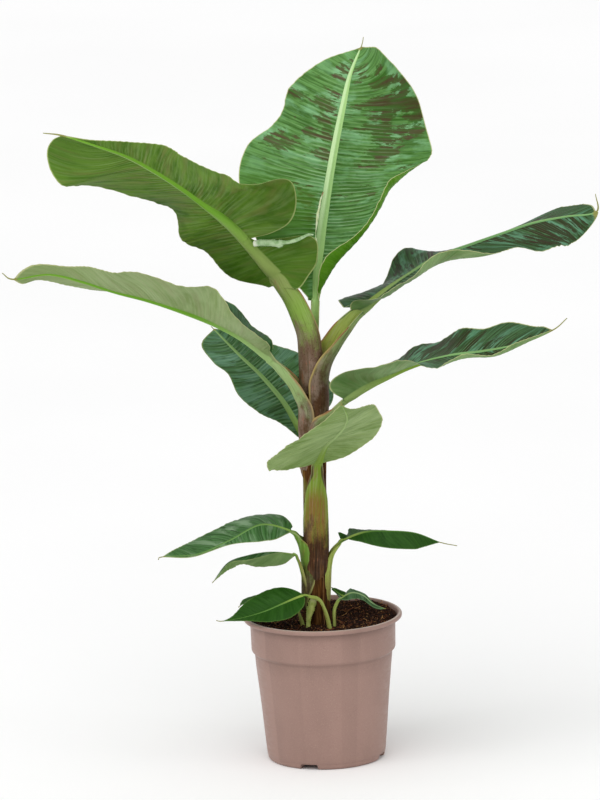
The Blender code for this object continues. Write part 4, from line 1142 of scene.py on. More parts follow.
def trunk_material():
    """Banana trunk: rolled leaf sheaths, dried brown and purple outside, with green where they are young.

    To the eye it is a dull fibrous skin, in long upright streaks with papery pale edges.
    """
    material, tree, shader = new_material("banana_trunk_sheath", 0.7, 0.06)
    place = add(tree, "ShaderNodeTexCoord").outputs["Object"]
    height = add(tree, "ShaderNodeSeparateXYZ", {}, {0: place}).outputs["Z"]
    edge = add(tree, "ShaderNodeAttribute", {"attribute_name": "edge"}).outputs["Fac"]
    # Fibres are 1 to 2 mm wide and run the height of the trunk. Object coordinates are in metres.
    fibre, band, cloud, strand, bloom = clouds(
        tree, place,
        ((520, 520, 9), 4, 0.6), ((95, 95, 7), 3, 0.6), ((30, 30, 14), 3, 0.6), ((230, 230, 6), 3, 0.6),
        ((42, 42, 20), 5, 0.62),
    )
    young = total(tree, cloud, (band, 0.5))
    colour = coated(
        tree, "#241002",
        ("#52300E", (band, 0.4, 0.6)),
        ("#5E4018", (cloud, 0.46, 0.62, 0, 0.4)),
        ("#7C5628", (fibre, 0.53, 0.66, 0, 0.55)),
        ("#845E30", (strand, 0.53, 0.63, 0, 0.5)),
        ("#170A04", (strand, 0.47, 0.38, 0, 0.75)),
        ("#34190A", (height, 0.36, 0.25, 0, 0.35)),
        ("#75803C", (young, 0.78, 0.92), (height, 0.28, 0.34), (height, 0.4, 0.47, 1, 0), 0.7),
        ("#1E0E06", (fibre, 0.48, 0.36, 0, 0.75)),
        ("#8C7660", (bloom, 0.5, 0.64), (height, 0.34, 0.44, 0.03, 0.5)),
        ("#967048", (edge, 0.45, 0.95, 0, 0.6)),
    )
    finish(tree, shader, colour, 0.6, 0.0008, total(tree, fibre, (band, 1)))
    return material


def pot_material(look):
    """Moulded polypropylene with a little filler: a smooth satin taupe with a faint speckle and soft scuffs.

    Its colour also holds painted reflections in upright bands, a painted highlight along the lip's crown and
    painted shadow under the lip and the ledge.
    """
    material, tree, shader = new_material("moulded_polypropylene", look.roughness, 0.25)
    place = add(tree, "ShaderNodeTexCoord").outputs["Object"]
    tone, shadow_and_soil, crown_highlight = (
        add(tree, "ShaderNodeAttribute", {"attribute_name": key}).outputs["Fac"]
        for key in ("tone", "shadow_and_soil", "crown_highlight")
    )
    # Specks are about 0.5 mm, drawn about 1.5 mm wide so that they show.
    speck, cloud, scuff = clouds(
        tree, place, ((700, 700, 700), 2, 0.5), ((14, 14, 7), 3, 0.55), ((60, 60, 240), 4, 0.65)
    )
    colour = coated(
        tree, paint(look.colour, 0.93),
        (paint(look.colour, 1.09), (cloud, 0.3, 0.7)),
        ("#B89A8C", (speck, 0.58, 0.72, 0, 0.35)),
        ("#7E6258", (speck, 0.42, 0.3, 0, 0.3)),
        ("#C6B0A4", (scuff, 0.66, 0.8, 0, 0.25)),
        # Painted reflections of the studio's lights: broad upright bands, each a shade lighter or darker than the
        # next.
        (paint(look.colour, 1.22), (tone, 0.5, 1, 0, 0.5)),
        (paint(look.colour, 0.8), (tone, 0.5, 0, 0, 0.5)),
        # Painted shadow under the lip and the ledge, and soil clinging on the inside.
        ("#4A382E", shadow_and_soil, (scuff, 0.3, 0.6, 0.7, 1), 0.75),
        # Painted highlight along the lip's crown.
        ("#D6CABC", crown_highlight, (scuff, 0.3, 0.6, 0.6, 1), 0.7),
    )
    rough = product(tree, (scuff, 0.3, 0.7, look.roughness - 0.06, look.roughness + 0.1))
    tree.links.new(rough, shader.inputs["Roughness"])
    finish(tree, shader, colour, 0.12, 0.0003, total(tree, speck, (scuff, 1)))
    return material


def soil_material(look):
    """Damp potting peat: nearly black brown, matt, crumbly, with rusty lighter grains."""
    material, tree, shader = new_material("damp_potting_peat", 0.92, 0.1)
    place = add(tree, "ShaderNodeTexCoord").outputs["Object"]
    # Grains are about 1 to 3 mm.
    grain, clod = clouds(tree, place, ((480, 480, 480), 5, 0.7), ((90, 90, 90), 3, 0.6))
    colour = coated(
        tree, paint(look.colour, 0.35),
        (paint(look.colour, 1.2), (clod, 0.35, 0.65)),
        ("#6E4628", (grain, 0.54, 0.66, 0, 0.9)),
        ("#080402", (grain, 0.45, 0.36, 0, 0.9)),
    )
    finish(tree, shader, colour, 0.9, 0.0015, total(tree, grain, (clod, 1)))
    return material


def mottled_material(name, colour, dark, scale, roughness, specular):
    """A plain colour with a cloudy change to a darker share of it, in clouds about 1 / scale metres wide."""
    material, tree, shader = new_material(name, roughness, specular)
    place = add(tree, "ShaderNodeTexCoord").outputs["Object"]
    [cloud] = clouds(tree, place, ((scale, scale, scale), 2, 0.5))
    mottled = coated(tree, paint(colour, dark), (paint(colour), (cloud, 0.35, 0.65)))
    tree.links.new(mottled, shader.inputs["Base Color"])
    return material


def grain_material(name, colour):
    """A grain or fibre of peat: matt, in its own plain colour with a little change from end to end."""
    return mottled_material(name, colour, 0.5, 260, 0.9, 0.2)


def floor_material(look):
    """Matt painted studio floor: a pale even paint with the faintest mottle."""
    return mottled_material("matt_studio_paint", look.floor, 0.985, 0.8, 0.85, 0.1)


def strip_material(name, look):
    """A bare strip of leaf or stem: fine lines along it, from its own two colours, paler at its torn end."""
    material, tree, shader = new_material(name, 0.5, 0.15)
    place = add(tree, "ShaderNodeUVMap", {"uv_map": "UVMap"}).outputs[0]
    torn = add(tree, "ShaderNodeAttribute", {"attribute_name": "torn"}).outputs["Fac"]
    lines, cloud = clouds(tree, place, ((60, 4, 1), 3, 0.6), ((14, 9, 1), 3, 0.6))
    first, second, end = look
    colour = coated(tree, first, (second, (cloud, 0.4, 0.6)), (end, (lines, 0.54, 0.7, 0, 0.5)), (end, torn))
    finish(tree, shader, colour, 0.4, 0.0005, lines)
    return material


# ---------------------------------------------------------------- pot, soil and trunk


def notch_depth(turn):
    """1 inside a drain notch of the foot ring, 0 outside it, with a short slope at each side."""
    inside = np.zeros(len(turn))
    for k in range(NOTCH_COUNT):
        middle = math.radians(NOTCH_FIRST + 360 / NOTCH_COUNT * k)
        away = np.abs(turn_between(turn, middle)) * FOOT_RADIUS
        inside = np.maximum(inside, 1 - ease(NOTCH_WIDTH / 2 - 0.8, NOTCH_WIDTH / 2 + 0.4, away))
    return inside


def pierced(piece, places, radius, low, high):
    """Cuts round upright holes through a piece, at these distances from the axis and turns round it."""
    points, faces = [], []
    last = HOLE_STEPS - 1
    for out, at in places:
        first = len(points)
        for ring in turned([(radius, low), (radius, high)], HOLE_STEPS):
            points += (ring + (out * math.cos(at), out * math.sin(at), 0)).tolist()
        faces += grid_faces(2, HOLE_STEPS, closed=True, first=first).tolist()
        faces += [list(range(first + last, first - 1, -1)), list(range(first + last + 1, first + 2 * HOLE_STEPS))]
    drill = new_piece(piece.name + "_drill", points, faces, [])
    work = piece.modifiers.new("holes", "BOOLEAN")
    work.operation, work.solver, work.object = "DIFFERENCE", "EXACT", drill
    mesh = plain_mesh(piece)
    piece.modifiers.remove(work)
    piece.data = mesh
    bpy.data.objects.remove(drill, do_unlink=True)


def reflection_banded(turn):
    """The painted reflection tone of the pot's wall at each turn round it, with a short change between two bands.
    """
    degrees = (np.degrees(turn) + 90) % 360
    starts, tones = np.array(POT_REFLECTION_BANDS, float).T
    tone = np.full(len(turn), tones[-1])
    for start, shade, before in zip(starts, tones, np.roll(tones, 1)):
        tone += (shade - before) * ease(start - 0.9, start + 0.9, degrees)
    return tone


def build_pot(look):
    """The pot as one turned shell, with its foot ring, notches, ledge and rolled lip."""
    profile = POT_UNDER + POT_OUTSIDE + POT_INSIDE
    rings = turned(profile, POT_STEPS)
    turn = round_turns(POT_STEPS)
    # The foot ring is cut away in the notches: its points rise to the notch's roof.
    deep = notch_depth(turn)
    for row in range(len(POT_UNDER) - 1, len(POT_UNDER) + FOOT_POINTS):
        height = rings[row, :, 2]
        rings[row, :, 2] = np.where(height < NOTCH_HEIGHT, height + deep * (NOTCH_HEIGHT - height), height)
    # The wall strays a little from round, where the moulding cooled.
    height = rings[:, :, 2]
    radius = np.hypot(rings[:, :, 0], rings[:, :, 1])
    wall = ease(12, 40, height) * (1 - ease(150, 158, height)) * (radius > 60)
    stray = wall * look.unevenness / MM * ripples(1.3 * np.cos(turn)[None], np.sin(turn)[None] + height / 160, 5)
    rings[:, :, :2] *= (1 + stray / np.maximum(radius, 1))[:, :, None]
    rows = len(profile)
    points = rings.reshape(-1, 3)
    height = points[:, 2]
    # The lip's crown gets a painted pale highlight. Soil clings to the inside; under the lip and under the ledge
    # the wall is darkened with painted shadow.
    away = (np.hypot(points[:, 0], points[:, 1]) - CROWN_RADIUS) / CROWN_WIDTH
    crown_highlight = np.exp(-(away**2)) * ease(218, 220, height)
    # A painted shadow line just under the lip, and a fainter painted shadow band under the ledge.
    under_lip = ease(198, 212.5, height) * (1 - ease(214.6, 215.4, height))
    under_ledge = 0.3 * ease(156, 164, height) * (1 - ease(164, 168, height))
    inside = np.repeat(np.arange(rows) >= len(POT_UNDER) + len(POT_OUTSIDE), POT_STEPS)
    shadow_and_soil = np.where(inside, 1.0, 0.5 * under_lip**3 + under_ledge)
    values = {"shadow_and_soil": shadow_and_soil, "tone": np.tile(reflection_banded(turn), rows), "crown_highlight": crown_highlight}
    faces = grid_faces(rows, POT_STEPS, closed=True)
    pot = new_piece("pot_shell", points, faces, [pot_material(look)], values=values)
    holes = [(HOLE_OUT, FULL_TURN / HOLE_COUNT * (k + 0.5)) for k in range(HOLE_COUNT)]
    pierced(pot, holes, HOLE_RADIUS, POT_FLOOR - 4, POT_FLOOR + 7)
    place_piece(pot, "pot", "pot")


def soil_top(x, y):
    """Height of the soil's surface, with its small clods."""
    height = np.full(np.shape(x), float(SOIL_LEVEL))
    for across, depth, spread, rise in SOIL_MOUNDS:
        height = height + rise * np.exp(-((x - across) ** 2 + (y - depth) ** 2) / spread**2)
    clods = sum(ripples(x / size, y / size, seed) * rise for size, seed, rise in SOIL_CLODS)
    inside = 1 - 0.6 * ease(98, 106, np.hypot(x, y))
    return height + clods * inside - 0.3


def build_soil(look):
    """The soil as a plug that fills the pot, with a broken, crumbly top."""
    steps, rings_up = 240, 96
    rings = list(turned(SOIL_SIDE, steps))
    turn = round_turns(steps)
    for k in range(rings_up):
        radius = SOIL_RADIUS * (1 - k / rings_up)
        x, y = radius * np.cos(turn), radius * np.sin(turn)
        height = soil_top(x, y)
        # The edge of the heap lies against the pot's wall, which leans outwards.
        lean = 1 + (np.interp(height, *WALL_ROOM) / SOIL_RADIUS - 1) * (1 - k / rings_up) ** 6
        rings.append(np.stack([x * lean, y * lean, height], -1))
    points = np.concatenate([*rings, [[0, 0, float(soil_top(0.0, 0.0))], [0, 0, SOIL_UNDERSIDE]]])
    faces = grid_faces(len(rings), steps, closed=True).tolist()
    faces += fans(steps, (len(rings) - 1) * steps, len(points) - 2, len(points) - 1)
    soil = new_piece("soil_plug", points, faces, [soil_material(look)])
    place_piece(soil, "soil", "soil")


def build_trunk(look):
    """The trunk's skin: rolled sheaths with long fibres, and the papery edges where one laps another."""
    around, along = 176, 330
    heights = np.array(TRUNK_ROWS, float)[:, 0]
    z = np.linspace(heights[0], heights[-1], along)
    x, y, r = (rolled(np.interp(z, heights, [row[k] for row in TRUNK_ROWS]), 6) for k in (1, 2, 3))
    a, h = round_turns(around)[None], z[:, None]
    wrap_x, wrap_y = np.cos(a) * 1.6, np.sin(a) * 1.6
    ridge = ripples(wrap_x * 1.7 + h / 900, wrap_y * 1.7, 21)
    fibre = ripples(wrap_x * 5 + h / 420, wrap_y * 5, 22) * 0.35
    fibre = fibre + ripples(wrap_x * 11, wrap_y * 11 + h / 260, 23) * 0.2
    # Each sheath laps the one inside it: its edge climbs round the trunk and stands a little proud.
    step, edge = np.zeros((along, around)), np.zeros((along, around))
    for start, lean, low, high in TRUNK_LAPS:
        gap = turn_between(a - start - lean * (h - LAP_FOOT), 0)
        shows = ease(low - 20, low + 20, h) * (1 - ease(high - 40, high, h))
        step += shows * np.where(gap > 0, np.exp(-gap / 0.9), 0) * 0.9
        edge = np.maximum(edge, shows * np.exp(-(((gap - 0.03) / 0.045) ** 2)))
    relief = look.relief / MM * (0.55 * ridge + fibre + step - 0.75)
    reach = r[:, None] + relief
    out, back = x[:, None] + reach * np.cos(a), y[:, None] + reach * TRUNK_DEPTH * np.sin(a)
    points = np.stack([out, back, np.broadcast_to(h, reach.shape)], -1).reshape(-1, 3)
    points = np.concatenate([points, [[x[0], y[0], z[0]], [x[-1], y[-1], z[-1]]]])
    faces = grid_faces(along, around, closed=True).tolist()
    faces += fans(around, (along - 1) * around, along * around + 1, along * around)
    values = {"edge": np.concatenate([edge.ravel(), [0, 0]])}
    trunk = new_piece("trunk_sheaths", points, faces, [trunk_material()], values=values)
    place_piece(trunk, "trunk", "trunk")


# ---------------------------------------------------------------- leaves


def side_shape(leaf, rib, share, hand):
    """Width, lift, curl and sweep of one side at these shares, from the sheath's foot to the dry tip."""
    rows = np.array(leaf["stalk"], float)
    across = [rolled(np.interp(share, rows[:, 0], rows[:, k]), 5) for k in (1, 2, 3)]
    top = rows[-1, 1]
    # Beside the rib the blade never gets narrower than this, out to the dry tip.
    least = [(0, top), (0.05, 0.8 * top), (0.3, 0.5 * top), (1, max(0.7, 0.1 * top)), (rib.last_share, 0.5)]
    least = np.where(share < 0, across[0], read_off(least, share))
    width = least.copy()
    lift, curl = np.radians(across[1]), np.radians(across[2])
    sweep = np.zeros(len(share))
    for part in leaf["left" if hand < 0 else "right"]:
        first, last = part["span"]
        inside = (share >= first - 1e-6) & (share <= last + 1e-6)
        q = (share[inside] - first) / (last - first)
        # A half that starts at the stalk takes over from the stalk's own lift and curl.
        taken = ease(0, 0.014, share[inside] - first) if first <= 0 else np.ones(inside.sum())
        wide, up, bend, along = (through(part[key], q)[:, 0] for key in ("width", "lift", "curl", "sweep"))
        width[inside] = np.maximum(wide, least[inside] * np.where(share[inside] < 0, 1, 0.9))
        lift[inside] = lift[inside] * (1 - taken) + np.radians(up) * taken
        curl[inside] = curl[inside] * (1 - taken) + np.radians(bend) * taken
        sweep[inside] = along * taken
    beyond = share > 1
    lift[beyond], curl[beyond] = 0.0, 0.0
    # A curl of nothing would divide by 0.
    curl = np.where(np.abs(curl) < 1e-4, 1e-4, curl)
    return width, lift, curl, sweep


def fleck_field(spots, share, across):
    """How thickly the flecks lie, from the leaf's list of clusters."""
    field = np.zeros(np.broadcast(share, across).shape)
    for at, side, along, wide, strength in spots:
        away = ((share - at) / along) ** 2 + ((across - side) / wide) ** 2
        field = np.maximum(field, strength * np.exp(-away))
    return field


def build_leaf(name, look):
    """One leaf as a closed thin shell, from the sheath round the trunk to the dry end of its tip."""
    leaf, look_of = LEAVES[name], LOOKS[name]
    rib = Rib(leaf)
    whole = rib.length[-1]
    parts = leaf["left"] + leaf["right"]
    # Rows stand 0.9 mm apart on a small leaf and 1.5 mm on a large one, and one lies at each end of a half.
    step = 0.9 + 0.6 * ease(80, 420, whole)
    share = np.linspace(rib.first_share, rib.last_share, int(whole / step))
    share = np.unique(np.round(np.concatenate([share, *(part["span"] for part in parts)]), 5))
    point, tangent, normal, right = rib.frame(share)
    at = share * rib.blade
    # 0 to 1 down the stalk, and 0 to -1 out along the blade.
    stalk = np.where(share < 0, share / rib.first_share, -share)
    stalk_width = np.interp(share, *np.array(leaf["stalk"], float).T[:2])
    folds = read_off(look_of["ply"], share)
    lean = read_off(look_of.get("lean", [(0, 0)]), share)
    half_rib = np.where(share < 0, 0.0, read_off(look_of["rib"], share))
    # Sheath arcs close in on the trunk's axis over their last stretch, so that no cut end shows.
    risen = ease(-4.0, 1.3 * rib.sunk, share * rib.blade + rib.base) if rib.sunk else np.ones(len(share))
    closing = 1 - SUNK_SHARE * (1 - risen)
    blade_thick = look.thickness / MM * (0.75 + 0.5 * ease(100, 420, whole))
    # How far each row is on the blade rather than the stalk.
    blend = ease(-0.03, 0.06, share)
    on_blade = ease(0.0, 0.06, share) * (1 - ease(0.97, 1.0, share))
    # Columns across the midrib, and from it out to the margin.
    mid_columns, out_columns = 6, int(7 + 12 * ease(15, 90, max(max(part["width"]) for part in parts)))
    upper, lower, uv = [], [], []
    held = {key: [] for key in ("margin", "rib", "fleck", "dry", "stalk", "crease", "ply")}
    seed = sum(map(ord, name))
    for hand in (-1, 1):
        width, lift, curl, sweep = side_shape(leaf, rib, share, hand)
        if hand < 0:
            point = point + ((1 - closing) * width / np.maximum(curl, 0.5))[:, None] * normal
        width = width * closing
        half_stalk = 0.9 * np.minimum(width, stalk_width)
        r = (1 - blend) * half_stalk + blend * np.minimum(np.maximum(half_rib, 0.5), 0.9 * width)
        inner = np.minimum(1.2 * r / width, 0.88)
        rim = np.clip(1 - 0.9 / width, inner + 0.04, 0.99)
        columns = [inner * k / mid_columns for k in range(0 if hand > 0 else 1, mid_columns)]
        columns += [inner + (rim - inner) * k / out_columns for k in range(out_columns + 1)]
        columns += [(1 + rim) / 2, np.ones(len(share))]
        if hand < 0:
            columns = columns[::-1]
        for u in columns:
            angle = lift + curl * u
            out = width * (np.sin(angle) - np.sin(lift)) / curl
            up = width * (np.cos(lift) - np.cos(angle)) / curl
            centre = point + (hand * out)[:, None] * right + up[:, None] * normal
            centre = centre + (sweep * u**1.5)[:, None] * tangent
            face = np.cos(angle)[:, None] * normal - (hand * np.sin(angle))[:, None] * right
            far = u * width
            vein = at - lean * far
            # Shallow pleats run along the veins, and the margin waves.
            away = ease(0.0, 1.0, (far - r) / 12) * on_blade
            fold = np.sin(FULL_TURN * vein / PLEAT + 1.1 * np.sin(vein / 31 + hand))
            fold = fold + 0.6 * np.sin(FULL_TURN * vein / WIDE_PLEAT + hand)
            pleat = look.pleat / MM * away * fold * (0.5 + 0.5 * u)
            free = ease(20, 90, width) * on_blade
            wave = ripples(at / 62, u * 0.4, seed + hand) * 1.7 * u**3
            wave = wave + ripples(at / 24, u * 0.5, seed + 7 * hand) * 0.7 * u**5
            centre = centre + (pleat + look.ruffle / MM * free * wave)[:, None] * face
            # The rib stands out below and lies in a groove above, with a low ridge on either side of it.
            t = far / np.maximum(r, 0.4)
            keel = np.sqrt(np.clip(1 - t**2, 0, 1))
            depth = (1 - blend) * np.minimum(0.42 * half_stalk, STALK_KEEL) * risen + blend * 0.8 * r
            thick = blade_thick * (1 - 0.6 * ease(0.7, 1, u)) + (1 - blend) * 0.9 * (1 - 0.7 * u)
            groove = -0.16 * r * keel * blend + 0.1 * r * np.exp(-(((t - 0.95) / 0.16) ** 2)) * blend
            upper.append(centre + (thick / 2 + groove)[:, None] * face)
            lower.append(centre - (thick / 2 + depth * keel)[:, None] * face)
            uv.append(np.stack([hand * far / UV_UNIT + 0.37 * (seed % 7), vein / UV_UNIT], -1))
            held["margin"].append(width - far)
            held["rib"].append(hand * np.clip(t, 0, 3))
            held["fleck"].append(fleck_field(look_of["flecks"], share, hand * u) * ease(0, 0.1, share))
            held["dry"].append(np.maximum(ease(0.965, 1.0, share), 0.8 * ease(0.88, 1.02, share) * u**4))
            # Beyond the stalk's own width a lobe of the blade hangs beside it, in the blade's colours.
            own = 1.06 * stalk_width * (1 - 0.28 * ease(-0.1, -0.03, share))
            held["stalk"].append(np.where(far > own, np.minimum(stalk, 0), stalk))
            # The creases are counted unevenly, so that no two stand quite the same way apart.
            uneven = 0.35 * np.sin(vein / 23 + hand) + 0.22 * np.sin(vein / 9.7)
            uneven = uneven + 0.5 * u * np.sin(vein / 47 + 2 * hand)
            held["crease"].append(vein / CREASE + uneven + 0.06 * ripples(at / 30, hand * far / 60, seed + 3))
            ends = ease(0, 0.05, share) * (1 - ease(0.86, 0.99, share))
            held["ply"].append(ends * ease(1.0, 1.15, t) * (1 - 0.85 * ease(0.15, 0.85, u)) * folds)
    materials = [leaf_material(look_of["tone"], under) for under in (False, True)]
    place_piece(shell_piece("blade_" + name, upper, lower, materials, uv, held), "leaf", "leaf_" + name)


def build_strip(name, rows, roll, look):
    """A rolled strip along a line. rows: point and half-width. roll: half-angle of its hollow, in degrees."""
    steps, count, thick = 110, 15, 0.7
    line = through(rows, np.linspace(0, 1, steps))
    middle, wide = line[:, :3], line[:, 3] * (1 + 0.1 * ripples(np.linspace(0, 7, steps), 0.0, 5))
    tangent = unit(np.gradient(middle, axis=0))
    forward = np.array([0, -1, 0.1])
    outwards = unit(forward - (tangent @ forward)[:, None] * tangent)
    right = np.cross(tangent, outwards)
    upper, lower, uv = [], [], []
    length = run_of(middle)
    roll = math.radians(roll)
    for u in np.linspace(-1, 1, count):
        angle = roll * u
        ragged = 1 + 0.06 * np.sin(length * 1.9 + 3 * u) * abs(u)
        reach = (wide * ragged / math.sin(roll))[:, None]
        out = math.sin(angle) * right + (math.cos(angle) - 1) * outwards
        face = math.cos(angle) * outwards + math.sin(angle) * right
        upper.append(middle + reach * out)
        lower.append(middle + reach * out - thick * face)
        uv.append(np.stack([u * wide / UV_UNIT + 3, length / UV_UNIT], -1))
    values = {"torn": [1 - ease(2, 9, length)] * count}
    place_piece(shell_piece(name, upper, lower, [strip_material("banana_" + name, look)], uv, values), "leaf")


# ---------------------------------------------------------------- loose soil


def scattered(name, least, most, count, seed, thread):
    """A node tree that scatters small lumps or fibres over a surface."""
    tree = bpy.data.node_groups.new(name, "GeometryNodeTree")
    face = tree.interface
    face.new_socket("Geometry", in_out="INPUT", socket_type="NodeSocketGeometry")
    inputs = (
        ("Least size", "Float", least), ("Most size", "Float", most), ("Count per square metre", "Float", count),
        ("Seed", "Int", seed), ("Material", "Material", None),
    )
    for label, kind, value in inputs:
        socket = face.new_socket(label, in_out="INPUT", socket_type="NodeSocket" + kind)
        if value is not None:
            socket.default_value = value
    face.new_socket("Geometry", in_out="OUTPUT", socket_type="NodeSocketGeometry")
    given = add(tree, "NodeGroupInput").outputs
    links = {"Mesh": given["Geometry"], "Density": given["Count per square metre"], "Seed": given["Seed"]}
    points = add(tree, "GeometryNodeDistributePointsOnFaces", {"distribute_method": "RANDOM"}, links)
    if thread:
        links = {"Resolution": 5, "Radius": 0.05}
        circle = add(tree, "GeometryNodeCurvePrimitiveCircle", {"mode": "RADIUS"}, links)
        links = {"Resolution": 7, "Radius": 0.9, "Start Angle": 0.0, "Sweep Angle": 1.3}
        arc = add(tree, "GeometryNodeCurveArc", {}, links)
        links = {"Curve": arc.outputs["Curve"], "Profile Curve": circle.outputs["Curve"], "Fill Caps": True}
        shape = add(tree, "GeometryNodeCurveToMesh", {}, links).outputs[0]
    else:
        ball = add(tree, "GeometryNodeMeshIcoSphere", {}, {"Radius": 0.5, "Subdivisions": 2}).outputs[0]
        rough = add(tree, "ShaderNodeTexNoise", {}, {"Scale": 2.6, "Detail": 2.0}).outputs["Color"]
        links = {0: rough, 1: (0.5, 0.5, 0.5)}
        offset = add(tree, "ShaderNodeVectorMath", {"operation": "SUBTRACT"}, links).outputs[0]
        shape = add(tree, "GeometryNodeSetPosition", {}, {"Geometry": ball, "Offset": offset}).outputs[0]
    # A fibre lies nearly level, and a crumb any way up.
    links = {0: (0, 0, 0), 1: (0.5, 0.5, 6.28) if thread else (6.28, 6.28, 6.28), 8: seed + 1}
    turn = add(tree, "FunctionNodeRandomValue", {"data_type": "FLOAT_VECTOR"}, links)
    links = {2: given["Least size"], 3: given["Most size"], 8: seed + 2}
    size = add(tree, "FunctionNodeRandomValue", {"data_type": "FLOAT"}, links)
    links = {
        "Points": points.outputs["Points"], "Instance": shape,
        "Rotation": turn.outputs[0], "Scale": size.outputs[1],
    }
    copies = add(tree, "GeometryNodeInstanceOnPoints", {}, links).outputs[0]
    real = add(tree, "GeometryNodeRealizeInstances", {}, {"Geometry": copies}).outputs[0]
    links = {"Geometry": real, "Material": given["Material"]}
    add(tree, "NodeGroupOutput", {}, {0: add(tree, "GeometryNodeSetMaterial", {}, links).outputs[0]})
    return tree


def scatter_on_soil(name, tree, material):
    """Runs a scattering tree on the open ring of soil and keeps the result as a plain mesh."""
    steps, rings_up = 72, 24
    turn = round_turns(steps)
    rings = []
    for k in range(rings_up):
        radius = SCATTER_RADIUS * (1 - k / rings_up)
        x, y = radius * np.cos(turn), radius * np.sin(turn)
        rings.append(np.stack([x, y, soil_top(x, y) + 0.2], -1))
    ground = new_piece(name + "_ground", np.concatenate(rings), grid_faces(rings_up, steps, closed=True), [])
    work = ground.modifiers.new(name, "NODES")
    work.node_group = tree
    for item in tree.interface.items_tree:
        if item.item_type == "SOCKET" and item.name == "Material":
            work[item.identifier] = material
    mesh = plain_mesh(ground)
    ground.modifiers.remove(work)
    bpy.data.objects.remove(ground, do_unlink=True)
    # What lies against the pot's wall bends along it.
    spots = np.empty(3 * len(mesh.vertices))
    mesh.vertices.foreach_get("co", spots)
    spots = spots.reshape(-1, 3)
    out = np.hypot(spots[:, 0], spots[:, 1])
    room = (np.interp(spots[:, 2] / MM, *WALL_ROOM) - 0.5) * MM
    spots[:, :2] *= np.minimum(1, room / np.maximum(out, MM))[:, None]
    mesh.vertices.foreach_set("co", spots.ravel())
    mesh.name = name
    place_piece(linked(name, mesh), "soil")


def build_loose_soil(look):
    """Crumbs, rusty grains and short fibres that lie on the soil."""
    # Largest size, count for each square metre, seed, whether it is a fibre, and colour.
    kinds = (
        ("soil_crumbs", look.crumb, 62000, 31, False, tuple(look.colour)),
        ("soil_rusty_crumbs", look.crumb * 0.8, 16000, 41, False, "#5C3A24"),
        ("soil_fibres", look.fibre, 24000, 51, True, "#74442A"),
        ("soil_pale_fibres", look.fibre * 0.8, 17000, 61, True, "#C08E58"),
    )
    for name, size, count, seed, thread, colour in kinds:
        tree = scattered(name, size * 0.35, size, count, seed, thread)
        scatter_on_soil(name, tree, grain_material("peat_" + name, colour))


# ---------------------------------------------------------------- stage


def area_light(name, place, aim, width, height, power):
    """A soft light panel that faces a point."""
    light = bpy.data.lights.new(name, "AREA")
    light.shape = "RECTANGLE"
    light.size, light.size_y = width, height
    light.energy = power
    panel = linked(name, light)
    panel.location = place
    panel.rotation_euler = (Vector(aim) - Vector(place)).to_track_quat("-Z", "Y").to_euler()


def build_stage(look):
    """The pale floor, the light and the camera."""
    corners = [(x * FLOOR_REACH, y * FLOOR_REACH, 0) for x, y in ((-1, -1), (1, -1), (1, 1), (-1, 1))]
    floor = new_piece("studio_floor", corners, [(0, 1, 2, 3)], [floor_material(look)])

    scene = bpy.context.scene
    scene.view_settings.view_transform = "Standard"
    world = bpy.data.worlds.new("studio_air")
    world.use_nodes = True
    air = world.node_tree.nodes["Background"]
    air.inputs["Color"].default_value = (1, 1, 1, 1)
    air.inputs["Strength"].default_value = look.air
    scene.world = world
    # A wide soft source high in front, as even over the far floor as it is on the plant.
    soft = bpy.data.lights.new("overhead_sky", "SUN")
    soft.energy, soft.angle = look.key * math.pi, math.radians(70)
    linked("overhead_sky", soft).rotation_euler = Vector((0.3, 0.7, -1)).to_track_quat("-Z", "Y").to_euler()
    for name, side in (("left_strip", -1), ("right_strip", 1)):
        area_light(name, (side * 2.4, -1.2, 0.9), (0, 0, 0.4), 0.5, 2.4, look.strips)

    # The camera stands where the photograph was taken from, some 9 m away with a long lens.
    lens = bpy.data.cameras.new("camera")
    lens.lens, lens.sensor_width, lens.sensor_fit = CAMERA_LENS, 36, "AUTO"
    lens.clip_end = 200
    camera = linked("camera", lens)
    pitch, roll = math.radians(CAMERA_PITCH), math.radians(CAMERA_ROLL)
    ahead = Vector((0, math.cos(pitch), -math.sin(pitch)))
    level = Vector((1, 0, 0))
    above = level.cross(ahead)
    right = level * math.cos(roll) - above * math.sin(roll)
    up = above * math.cos(roll) + level * math.sin(roll)
    turn = Matrix((right, up, -ahead)).transposed().to_4x4()
    turn.translation = Vector(CAMERA_PLACE)
    camera.matrix_world = turn
    scene.camera = camera


# ---------------------------------------------------------------- settings


class PlantPotSettings(bpy.types.PropertyGroup):
    """Finish of the pot."""

    colour: bpy.props.FloatVectorProperty(
        name="Plastic", description="Colour of the pot's plastic", subtype="COLOR", size=3, min=0, max=1,
        default=linear("#977A70"),
    )
    roughness: bpy.props.FloatProperty(
        name="Roughness", description="How matt the pot's plastic is", subtype="FACTOR", min=0, max=1,
        default=0.42,
    )
    unevenness: bpy.props.FloatProperty(
        name="Unevenness", description="How far the wall strays from round", unit="LENGTH", subtype="DISTANCE",
        min=0, max=0.003, default=0.0004,
    )


class PlantSoilSettings(bpy.types.PropertyGroup):
    """Finish of the soil."""

    colour: bpy.props.FloatVectorProperty(
        name="Peat", description="Colour of the damp peat", subtype="COLOR", size=3, min=0, max=1,
        default=linear("#2C150A"),
    )
    crumb: bpy.props.FloatProperty(
        name="Crumb", description="Width of the largest loose crumb", unit="LENGTH", subtype="DISTANCE",
        min=0.001, max=0.02, default=0.0055,
    )
    fibre: bpy.props.FloatProperty(
        name="Fibre", description="Length of the longest loose fibre", unit="LENGTH", subtype="DISTANCE",
        min=0.002, max=0.04, default=0.013,
    )


class PlantTrunkSettings(bpy.types.PropertyGroup):
    """Finish of the trunk."""

    relief: bpy.props.FloatProperty(
        name="Relief", description="Height of the ridges on the trunk's sheaths", unit="LENGTH",
        subtype="DISTANCE", min=0, max=0.005, default=0.0011,
    )


